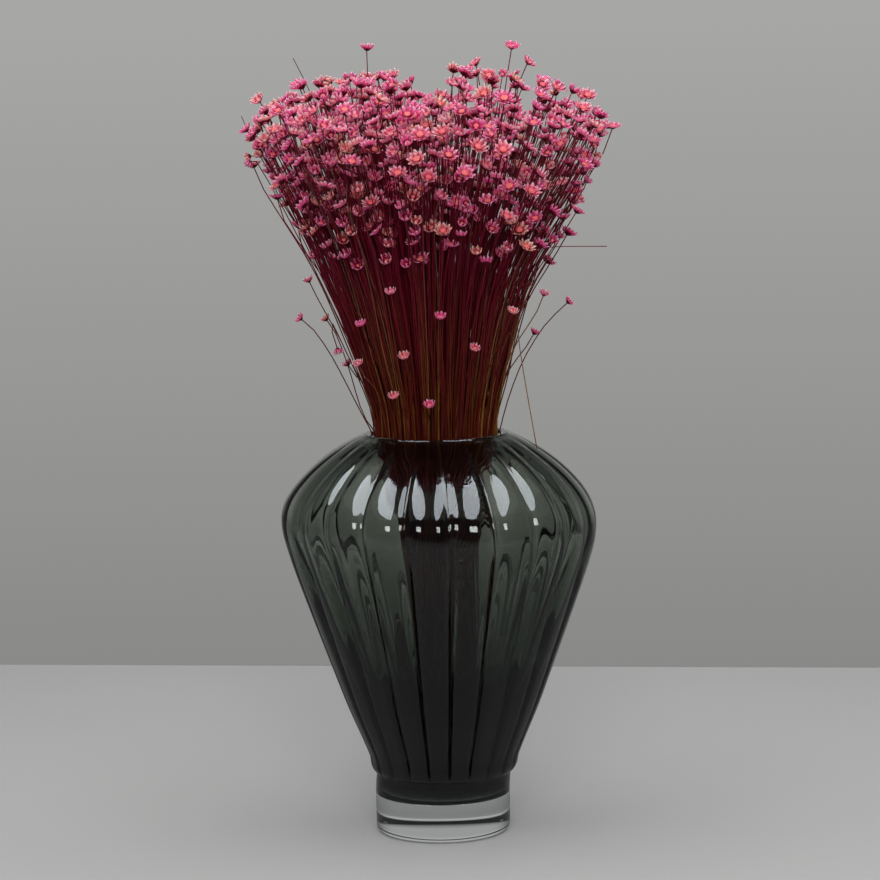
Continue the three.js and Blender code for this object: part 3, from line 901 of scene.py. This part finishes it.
def spray_centres():
    centres = []
    for count, radius, turn in SPRAY_RINGS:
        for index in range(count):
            angle = (FULL_TURN * (index + turn)) / count
            centres.append(vec(radius * math.cos(angle), radius * math.sin(angle)))
    return centres


def apart(first, second):
    return math.hypot(first[0] - second[0], first[1] - second[1])


def strays(place, own, sprays):
    """Whether a place lies too near the next spray for its own stem to reach without crossing"""
    limit = apart(place, own.centre) + CELL_MARGIN
    return any(other is not own and apart(place, other.centre) < limit for other in sprays)


def lay_out_stems():
    draw = seeded_random(SEED)
    sprays = [Spray(centre) for centre in spray_centres()]
    taken = []
    for x, y, level in OUTLINE_HEADS:
        radius = sheaf_radius(level)
        place = vec(x / radius, y / radius)
        spray = min(sprays, key=lambda one: apart(place, one.centre))
        away = place - spray.centre
        turn = math.atan2(-away[1], -away[0]) + math.pi
        sector = math.floor((turn / FULL_TURN) * len(spray.stems))
        spray.stems[sector] = Stem(place, level)
        taken.append(place)
    for spray in sprays:
        count = len(spray.stems)
        for sector in range(count):
            if spray.stems[sector]:
                continue
            best, best_gap = None, -1
            for _ in range(LAYOUT_TRIES):
                turn = (FULL_TURN * (sector + 0.5 + SECTOR_JITTER * (draw() - 0.5))) / count
                reach = SPRAY_CELL * lerp(*STEM_REACH, math.sqrt(draw()))
                offset = vec(math.cos(turn), math.sin(turn)) * reach
                place = spray.centre + offset
                while strays(place, spray, sprays):
                    offset = offset * 0.9
                    place = spray.centre + offset
                gap = min(apart(place, other) for other in taken)
                if gap > best_gap:
                    best, best_gap = place, gap
            spray.stems[sector] = Stem(best)
            taken.append(best)
    return sprays


def dome_level(place):
    dome = DOME_TOP - DOME_FALL * math.hypot(*place) ** 3
    across = place[0] * sheaf_radius(dome)
    return dome - CLEFT_DEPTH * math.exp(-((across / CLEFT_WIDTH) ** 2))


def distances_to_segments(point, starts, ends):
    along = ends - starts
    share = np.clip(((point - starts) * along).sum(axis=1) / (along * along).sum(axis=1), 0, 1)
    return np.linalg.norm(starts + share[:, None] * along - point, axis=1)


class Crowd:
    """Where the heads and the upper stems are, for finding room between them"""

    def __init__(self, stems):
        self.starts = np.array([in_sheaf(stem.place, STEM_KNOT[0]) for stem in stems])
        self.ends = np.array([in_sheaf(stem.place, stem.top) for stem in stems])
        self.centres = np.zeros((0, 3))
        self.radii = np.zeros(0)

    def add(self, index, head):
        if index is not None:
            self.ends[index] = head.base
        self.centres = np.vstack([self.centres, head.centre])
        self.radii = np.append(self.radii, head.radius)

    def room_round(self, head, own):
        room = math.inf
        if len(self.radii):
            gaps = np.linalg.norm(self.centres - head.centre, axis=1) - head.radius - self.radii
            room = gaps.min()
        gaps = distances_to_segments(head.centre, self.starts, self.ends) - head.radius - STEM_CLEARANCE
        if own is not None:
            gaps[own] = math.inf
        return min(room, gaps.min())

    def room_along(self, place, level):
        if not len(self.radii):
            return math.inf
        start, end = in_sheaf(place, STEM_KNOT[0]), in_sheaf(place, level)
        along = end - start
        share = np.clip((self.centres - start) @ along / (along @ along), 0, 1)
        gaps = np.linalg.norm(start + share[:, None] * along - self.centres, axis=1)
        return (gaps - self.radii - STEM_CLEARANCE).min()


def head_axis(place, draw):
    rise = unit(in_sheaf(place, BUNCH_TOP[0]) - in_sheaf(place, STEM_KNOT[0]))
    turn = FULL_TURN * draw()
    tilt = HEAD_TILT * math.sqrt(draw())
    return unit(rise + vec(tilt * math.cos(turn), tilt * math.sin(turn), 0))


def place_heads(sprays):
    stems = [stem for spray in sprays for stem in spray.stems]
    for stem in stems:
        stem.top = stem.level or dome_level(stem.place)
    crowd = Crowd(stems)

    def rank(index):
        return (not stems[index].level, -math.hypot(*stems[index].place), index)

    for index in sorted(range(len(stems)), key=rank):
        stem = stems[index]
        draw = seeded_random(SEED + 1 + index)
        best, best_room = None, -math.inf
        highest = dome_level(stem.place)
        for tries in range(HEAD_TRIES):
            depth = HEAD_DEPTH_SPREAD * draw() ** HEAD_DEPTH_BIAS
            lowest = LOWEST_HEAD + LOWEST_HEAD_SPREAD * draw()
            level = stem.level or max(highest - depth, lowest)
            openness = min(1, LEAST_OPEN + OPEN_SPREAD * draw()) * (1 - tries / HEAD_TRIES)
            head = Head(in_sheaf(stem.place, level), head_axis(stem.place, draw), openness)
            room = min(crowd.room_round(head, index), crowd.room_along(stem.place, level))
            if room > best_room:
                best, best_room = head, room
            if room >= CLEARANCE:
                break
        stem.head = best
        stem.top = best.base[2]
        crowd.add(index, best)
    return crowd


def add_between(sprays, crowd, kind, seed):
    """Thin stems of a kind between the main ones; their heads may just touch the others"""
    draw = seeded_random(seed)
    for spray in sprays:
        added = spray.fillers if kind is FILLERS else spray.buds
        for _ in range(kind.thin if spray.centre[0] > 0 else kind.full):
            best, best_room = None, -math.inf
            for _ in range(PLACE_TRIES):
                turn = FULL_TURN * draw()
                reach = SPRAY_CELL * math.sqrt(draw())
                place = spray.centre + reach * vec(math.cos(turn), math.sin(turn))
                place = place * min(1, WIDEST_PLACE / math.hypot(*place))
                depth = BETWEEN_TOP_GAP + kind.depth * draw() ** kind.bias
                level = max(dome_level(place) - depth, LOWEST_HEAD + BETWEEN_LOWEST_SPREAD * draw())
                openness = lerp(*kind.openness, draw())
                head = Head(in_sheaf(place, level), head_axis(place, draw), openness)
                room = crowd.room_round(head, None)
                if room > best_room:
                    best, best_room = (place, head), room
                if room >= -kind.overlap:
                    break
            place, head = best
            added.append(Stem(place, head=head))
            crowd.add(None, head)


def around(radius, azimuth, level):
    return vec(radius * math.sin(azimuth), -radius * math.cos(azimuth), level)


def azimuth_of(point):
    return math.atan2(point[0], -point[1])


def nearest_stalk(azimuth, sprays):
    """The spray on the sheaf's edge that lies nearest to an azimuth"""
    edge = [spray for spray in sprays if math.hypot(*spray.centre) > SPRAY_SPREAD - CELL_MARGIN]
    facing = unit(vec(math.sin(azimuth), -math.cos(azimuth)))
    return max(edge, key=lambda spray: facing @ unit(spray.centre))


def root_points(spray):
    """The way of a loose stem from the glass floor up and out past the lip"""
    azimuth = azimuth_of(spray.centre)
    radius = ROOT_SHEAF / SPRAY_SPREAD * math.hypot(*spray.centre)
    return [
        around(STEM_FOOT[1] * ROOT_FOOT_SHARE, azimuth, STEM_FOOT[0]),
        around(STEM_WAIST[1] * ROOT_WAIST_SHARE, azimuth, STEM_WAIST[0]),
        around(radius, azimuth, ROOT_LEVEL),
        around(LIP_PASS[1], azimuth, LIP_PASS[0]),
        around(LIP_ELBOW[1], azimuth, LIP_ELBOW[0]),
    ]


def add_loose_stems(sprays):
    for azimuth, level, reach, lean in LOW_HEADS:
        facing = math.radians(azimuth)
        spray = nearest_stalk(facing, sprays)
        middle_level = (LIP_ELBOW[0] + level) / 2
        middle = gathered(around(sheaf_radius(middle_level) + SHEAF_SKIN, facing, middle_level))
        base = around(sheaf_radius(level) + reach, facing, level)
        tip = math.radians(lean) * LOW_HEAD_LIFT
        axis = around(math.sin(tip), facing, math.cos(tip))
        spray.loose.append((root_points(spray) + [middle], Head(base, axis, LOOSE_HEAD_OPEN)))
    for points, lean in DROOPING_STEMS:
        path = [vec(*point) for point in points]
        spray = nearest_stalk(azimuth_of(path[0]), sprays)
        facing = azimuth_of(path[-1])
        tip = math.radians(lean)
        axis = around(math.sin(tip), facing, math.cos(tip))
        spray.loose.append((root_points(spray)[:4] + path[:-1], Head(path[-1], axis, LOOSE_HEAD_OPEN)))
    for points, way in NODDING_STEMS:
        path = [vec(*point) for point in points]
        spray = nearest_stalk(azimuth_of(path[0]), sprays)
        axis = unit(vec(*way))
        spray.loose.append((root_points(spray)[:3] + path[:-1], Head(path[-1], axis, NODDING_HEAD_OPEN)))
    for points, tint in BARE_STEMS:
        path = [vec(*point) for point in points]
        spray = nearest_stalk(azimuth_of(path[0]), sprays)
        spray.bare.append((root_points(spray)[:3] + path, tint))


# Stems and heads


def tube(growth, path, radii, sides, finish, reach, tint):
    """A round tube along a path"""
    ways = np.gradient(path, axis=0)
    ways /= np.linalg.norm(ways, axis=1)[:, None]
    across = unit(np.cross(ways[0], TUBE_GUIDE))
    turns = FULL_TURN * np.arange(sides) / sides
    rings = []
    for middle, way, radius in zip(path, ways, radii):
        across = unit(across - way * (across @ way))
        along = np.cross(way, across)
        rings.append(middle + radius * (np.outer(np.cos(turns), across) + np.outer(np.sin(turns), along)))
    growth.rings(rings, finish, reach, tint)


def stem_along(growth, points, head, tint, detail):
    """A stem through the points that bends into its head's direction at the end"""
    base, axis = head.base, head.axis
    approach = lerp(base - NECK_APPROACH * axis, points[-1], NECK_SLACK)
    neck = [approach, base - NECK_STRAIGHT * axis, base + NECK_IN_HEAD * axis]
    bare_stem(growth, flowing([*points, *neck], detail.steps), tint, detail.thickness, detail.sides)


def bare_stem(growth, path, tint, thickness, sides):
    low, high = STEM_RISE
    rise = np.clip((path[:, 2] - low) / (high - low), 0, 1)
    radii = thickness * lerp(STEM_RADIUS_LOW, STEM_RADIUS_HIGH, rise)
    tube(growth, path, radii, sides, STEM_SKIN, rise, tint)


def gathered(point):
    """The same point, drawn in where the bunch stands narrow above the lip, more so on the right"""
    left = np.interp(point[2], GATHER_LEVELS, GATHER_LEFT)
    right = np.interp(point[2], GATHER_LEVELS, GATHER_RIGHT)
    pull = lerp(left, right, eased_between(point[0], *GATHER_CHANGE))
    return point * vec(1 - pull, 1 - pull, 1)


def drawn_in(place):
    """The same place on the disc, or the nearest one inside the sheaf's limit"""
    return place * min(1, SHEAF_LIMIT / math.hypot(*place))


def shifted(place, level, share):
    """A point of the sheaf inside the vase, where it leans a little to the left"""
    return vec(place[0] + share * WAIST_SHIFT, place[1], level)


def sheaf_points(stem, draw):
    """The way of a stem from the glass floor through the waist and the mouth up to its head"""
    place, top = stem.place, stem.head.base[2]

    def wander(reach):
        return reach * vec(draw() - 0.5, draw() - 0.5)

    def halfway(first, second, low, high, rise, radius, shift):
        return shifted(lerp(first, second, 0.5) * radius, lerp(low, high, rise), shift)

    foot = drawn_in(place * FOOT_PLACE[0] + wander(FOOT_PLACE[1]))
    waist = drawn_in(place * WAIST_PLACE[0] + wander(WAIST_PLACE[1]))
    evened = place * math.hypot(*place) ** MOUTH_EVENING
    mouth = drawn_in(evened * MOUTH_PLACE[0] + wander(MOUTH_PLACE[1]))
    points = [
        vec(*(foot * STEM_FOOT[1]), STEM_FOOT[0] + STEM_LIFT),
        halfway(foot, waist, STEM_FOOT[0], STEM_WAIST[0], *BELOW_WAIST),
        shifted(waist * STEM_WAIST[1], STEM_WAIST[0], 1),
        halfway(waist, mouth, STEM_WAIST[0], STEM_START[0], *ABOVE_WAIST),
        gathered(vec(*(mouth * STEM_START[1]), STEM_START[0])),
    ]
    for share in SWAY_SHARES:
        level = lerp(STEM_START[0], top, share)
        sway = vec(*(wander(SWAY) * math.sin(math.pi * share)), 0)
        points.append(gathered(in_sheaf(lerp(mouth, place, share**SPREAD_EASING), level)) + sway)
    return points


def leaf_rings(middle, sideways, normals, half_widths):
    """Thin folded rings for a bract, one for each point of its middle line"""
    rings = []
    for point, normal, width in zip(middle, normals, half_widths):
        half = sideways * width
        under = point - normal * (BRACT_THICKNESS + BRACT_FOLD * width)
        rings.append([point + half, under + normal * BRACT_THICKNESS * 2, point - half, under])
    return rings


def bract(growth, axes, origin, turn, start, bend, end, width, steps, finish, tint, lean=0.0):
    """One pointed bract, bent from its root over the bend to its tip"""
    across, along, axis = axes
    shares, widths = BRACT_FORMS[steps]
    outward = math.cos(turn) * across + math.sin(turn) * along
    sideways = -math.sin(turn) * across + math.cos(turn) * along
    t = shares[:, None]
    flat = (1 - t) ** 2 * np.array(start) + 2 * t * (1 - t) * np.array(bend) + t**2 * np.array(end)
    slope = 2 * (1 - t) * (np.array(bend) - start) + 2 * t * (np.array(end) - bend)
    slope /= np.linalg.norm(slope, axis=1)[:, None]
    middle = origin + flat[:, :1] * outward + flat[:, 1:] * axis + lean * sideways * t
    normals = -slope[:, 1:] * outward + slope[:, :1] * axis
    rings = leaf_rings(middle, sideways, normals, 0.5 * width * widths)
    growth.rings(rings, finish, shares, tint)


def bowl(growth, axes, origin, profile, sides, finish, reach, tint):
    """A closed round form on a head's axis, through a profile of radius and rise"""
    across, along, axis = axes
    turns = FULL_TURN * np.arange(sides) / sides
    circle = np.outer(np.cos(turns), across) + np.outer(np.sin(turns), along)
    rings = [origin + radius * circle + rise * axis for radius, rise in profile]
    growth.rings(rings, finish, reach, tint)


def between(counts, draw):
    """A whole number from the least to the most"""
    return counts[0] + int((counts[1] - counts[0] + 0.99) * draw())


def head_on(growth, head, draw, detail):
    """A flower head: a bowl of dark scales, papery bracts in one or two rows and a disc of florets"""
    axis = head.axis
    spin = FULL_TURN * draw()
    aside = unit(np.cross(axis, HEAD_GUIDE))
    across = math.cos(spin) * aside + math.sin(spin) * np.cross(axis, aside)
    axes = (across, np.cross(axis, across), axis)
    opened = head.openness
    tint = draw()
    size = detail.size

    def sized(shut, wide):
        return size * lerp(shut, wide, opened)

    radius = size * head.radius
    rise = sized(*OUTER_TIP_RISE)
    seat = sized(*SEAT_RADIUS)
    cup = [(0.35, 0), (size, 0.3), (seat * 0.8, size), (seat, 1.8 * size)]
    bowl(growth, axes, head.base, cup, CUP_SIDES, CUP_SCALE, CUP_SHADES, tint)

    root = (SCALE_ROOT[0] * size, SCALE_ROOT[1])
    bend = (SCALE_BEND[0] * size, SCALE_BEND[1] * size)
    width = SCALES_WIDTH * size / detail.scales
    for index in range(detail.scales):
        turn = FULL_TURN * (index + SCALE_JITTER * (draw() - 0.5)) / detail.scales
        tip = (sized(*SCALE_TIP_REACH), sized(*SCALE_TIP_RISE) * lerp(*SCALE_LENGTHS, draw()))
        bract(growth, axes, head.base, turn, root, bend, tip, width, SCALE_STEPS, CUP_SCALE, tint)

    root = (seat * OUTER_ROOT[0], OUTER_ROOT[1] * size)
    bend = (sized(*OUTER_BEND_REACH), sized(*OUTER_BEND_RISE))
    outer = between(detail.outer, draw)
    steps = detail.bract_steps
    for index in range(outer):
        turn = FULL_TURN * (index + OUTER_JITTER * (draw() - 0.5)) / outer
        span = lerp(*OUTER_SPANS, draw())
        lift = lerp(*OUTER_LIFTS, draw())
        tip = (radius * span, rise * (lift if opened > ALMOST_SHUT else 1.0) * lerp(*OUTER_DROP, span))
        width = sized(*OUTER_WIDTH) / outer * lerp(*OUTER_WIDTHS, draw())
        lean = OUTER_LEAN * (draw() - 0.5)
        bract(growth, axes, head.base, turn, root, bend, tip, width, steps, BRACT_PAPER, tint, lean)

    root = (seat * INNER_ROOT[0], INNER_ROOT[1] * size)
    bend = (sized(*INNER_BEND_REACH), sized(*INNER_BEND_RISE))
    inner = between(detail.inner, draw) if detail.inner else 0
    for index in range(inner):
        turn = FULL_TURN * (index + 0.5 + INNER_JITTER * (draw() - 0.5)) / inner
        tip = (radius * lerp(*INNER_SPANS, draw()), rise * lerp(*INNER_LIFTS, draw()))
        width = INNER_WIDTH * size / inner
        bract(growth, axes, head.base, turn, root, bend, tip, width, INNER_STEPS, BRACT_PAPER, tint)

    disc, top = sized(*DISC_RADIUS), sized(*DISC_TOP)
    dome = [(disc * share, top + step) for share, step in DISC_PROFILE]
    bowl(growth, axes, head.base, dome, DISC_SIDES, DISC_FLORETS, 0.5, draw())


def make_sprays(finishes):
    sprays = lay_out_stems()
    crowd = place_heads(sprays)
    add_between(sprays, crowd, FILLERS, FILLER_SEED)
    add_between(sprays, crowd, BUDS, BUD_SEED)
    add_loose_stems(sprays)
    for number, spray in enumerate(sprays, 1):
        draw = seeded_random(SPRAY_SEED + number)
        growth = Growth()
        for stems, detail in ((spray.stems, MAIN), (spray.fillers, FILLER), (spray.buds, BUD)):
            for stem in stems:
                stem_along(growth, sheaf_points(stem, draw), stem.head, draw(), detail)
                head_on(growth, stem.head, draw, detail)
        for points, head in spray.loose:
            stem_along(growth, points, head, draw(), STRAY)
            head_on(growth, head, draw, STRAY)
        for points, tint in spray.bare:
            bare_stem(growth, flowing(points, STRAY.steps), tint, BARE_THICKNESS, STRAY.sides)
        piece = growth.piece(f"glixia_spray_{number:02d}", finishes)
        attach(piece, "root")
        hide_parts(f"spray_{number:02d}")


# Camera, set to the photo's view; the photo's side and focal length are in its pixels

PHOTO_SIDE = 880
PHOTO_FOCAL = 2847
CAMERA_AT = (2.3, -1750, 449)
CAMERA_DOWN = math.radians(6.65)
CAMERA_ROLL = math.radians(0.95)
SENSOR = 36


def make_camera():
    lens = bpy.data.cameras.new("studio_camera")
    lens.sensor_width = SENSOR
    lens.lens = SENSOR * PHOTO_FOCAL / PHOTO_SIDE
    camera = bpy.data.objects.new("studio_camera", lens)
    bpy.context.scene.collection.objects.link(camera)
    aim = Euler((math.pi / 2 - CAMERA_DOWN, 0, 0)).to_matrix() @ Matrix.Rotation(-CAMERA_ROLL, 3, "Z")
    camera.matrix_world = Matrix.Translation(Vector(CAMERA_AT) * MM) @ aim.to_4x4()
    lens.clip_start = 0.05
    lens.clip_end = 50
    bpy.context.scene.camera = camera
    return camera


def table_point(camera, x, y):
    """Where the line of sight through a point of the picture meets the table"""
    sight = Vector(((x - PHOTO_SIDE / 2) / PHOTO_FOCAL, (PHOTO_SIDE / 2 - y) / PHOTO_FOCAL, -1))
    sight = camera.matrix_world.to_3x3() @ sight
    start = camera.matrix_world.translation
    return start - sight * (start.z / sight.z)


# Studio, in metres; the ends of the table's far edge are points of the photo

TABLE_EDGE_LEFT = (0, 664)
TABLE_EDGE_RIGHT = (880, 667)
TABLE_FRONT = -0.62
TABLE_HALF_WIDTH = 1.3
TABLE_LEVEL = -0.0002
TABLE_THICKNESS = 0.03
TABLE_ROUNDING = 0.002


def make_table(camera, finish):
    left = table_point(camera, *TABLE_EDGE_LEFT)
    right = table_point(camera, *TABLE_EDGE_RIGHT)
    slope = (right.y - left.y) / (right.x - left.x)
    half = TABLE_HALF_WIDTH
    outline = [(-half, TABLE_FRONT), (half, TABLE_FRONT)]
    outline += [(x, left.y + slope * (x - left.x)) for x in (half, -half)]
    low = TABLE_LEVEL - TABLE_THICKNESS
    points = [(x, y, level) for level in (low, TABLE_LEVEL) for x, y in outline]
    faces = [(3, 2, 1, 0), (4, 5, 6, 7), (0, 1, 5, 4), (1, 2, 6, 5), (2, 3, 7, 6), (3, 0, 4, 7)]
    mesh = bpy.data.meshes.new("table")
    mesh.from_pydata(points, [], faces)
    mesh.materials.append(finish)
    table = bpy.data.objects.new("table", mesh)
    bpy.context.scene.collection.objects.link(table)
    edge = table.modifiers.new("edge", "BEVEL")
    edge.width = TABLE_ROUNDING
    edge.segments = 3
    # In mirror images the surroundings show an even grey table in its place
    table.visible_glossy = False


Lamp = namedtuple("Lamp", "name at towards size radiance colour seen_by shape")
LAMPS = (
    Lamp(
        "softbox_glow", (0, -0.25, 1.45), (0, -0.25, 0), (2.8, 2.0), 1.7, (0.995, 0.995, 1.0),
        ("diffuse", "transmission"), "RECTANGLE",
    ),
    Lamp(
        "softbox_left", (-0.6, -0.58, 1.42), (-0.6, -0.58, 0), (0.84, 1.6), 8.7, (0.88, 0.94, 1.0),
        ("glossy",), "ELLIPSE",
    ),
    Lamp(
        "window_left", (-1.05, -2.1, 1.05), (0, 0, 0.2), (0.6, 0.5), 17.0, (1.0, 1.0, 0.98),
        ("glossy",), "RECTANGLE",
    ),
    Lamp(
        "softbox_right", (0.6, -0.58, 1.42), (0.6, -0.58, 0), (0.84, 1.6), 7.9, (0.88, 0.94, 1.0),
        ("glossy",), "ELLIPSE",
    ),
    Lamp(
        "window_right", (1.05, -2.1, 1.05), (0, 0, 0.2), (0.6, 0.5), 17.0, (1.0, 1.0, 0.98),
        ("glossy",), "RECTANGLE",
    ),
    Lamp(
        "front_fill", (0, -2.6, 1.5), (0, 0, 0.35), (1.2, 0.8), 12.4, (1.0, 0.99, 0.98),
        ("diffuse",), "RECTANGLE",
    ),
)


def make_lights():
    """Soft lamps, each found only by the kinds of ray that it is seen by"""
    for lamp in LAMPS:
        glow = bpy.data.lights.new(lamp.name, "AREA")
        glow.shape = lamp.shape
        glow.size, glow.size_y = lamp.size
        glow.energy = lamp.radiance * math.pi * lamp.size[0] * lamp.size[1]
        glow.color = lamp.colour
        light = bpy.data.objects.new(lamp.name, glow)
        light.location = lamp.at
        way = Vector(lamp.towards) - Vector(lamp.at)
        light.rotation_euler = way.to_track_quat("-Z", "Y").to_euler()
        light.visible_camera = False
        light.visible_diffuse = "diffuse" in lamp.seen_by
        light.visible_glossy = "glossy" in lamp.seen_by
        light.visible_transmission = "transmission" in lamp.seen_by
        bpy.context.scene.collection.objects.link(light)


WALL_LOW = tone(136, 136, 134)
WALL_HIGH = tone(169, 169, 168)
ROOM_DARK = (0.07, 0.07, 0.075, 1)
TABLE_BEFORE = (0.38, 0.38, 0.39, 1)
TABLE_BEHIND = (0.18, 0.18, 0.185, 1)


def make_surroundings():
    """A plain grey wall on every side for the camera.

    In mirror images the room before the vase is dark, and the table is an even grey that darkens
    towards the back.
    """
    world = bpy.data.worlds.new("studio")
    bpy.context.scene.world = world
    finish = Finish(world)
    direction = finish.node("ShaderNodeTexCoord")
    away = finish.node("ShaderNodeSeparateXYZ", {}, {"Vector": direction}, output="Y")
    height = finish.node("ShaderNodeSeparateXYZ", {}, {"Vector": direction}, output="Z")
    wall = finish.blend(finish.clipped(height, -0.2, 0.05), WALL_LOW, WALL_HIGH)
    lit = finish.clipped(away, 0.25, 0.75) * finish.clipped(height, 0.6, 0.15)
    room = finish.blend(lit, ROOM_DARK, wall)
    table = finish.blend(finish.clipped(away, -0.2, 0.6), TABLE_BEFORE, TABLE_BEHIND)
    mirrored = finish.node("ShaderNodeLightPath", output="Is Reflection Ray")
    room = finish.blend(mirrored * finish.clipped(height, -0.02, -0.1), room, table)
    seen = finish.node("ShaderNodeLightPath", output="Is Camera Ray")
    colour = finish.blend(seen, room, wall)
    background = finish.node("ShaderNodeBackground", {}, {"Color": colour, "Strength": 1.0})
    finish.node("ShaderNodeOutputWorld", {}, {"Surface": background})


bpy.context.scene.view_settings.view_transform = "Standard"
studio_camera = make_camera()
make_table(studio_camera, table_top())
make_lights()
make_surroundings()
make_foot(clear_glass())
make_body(smoked_glass())
make_sprays([stem_skin(), bract_paper(), cup_scale(), disc_florets()])
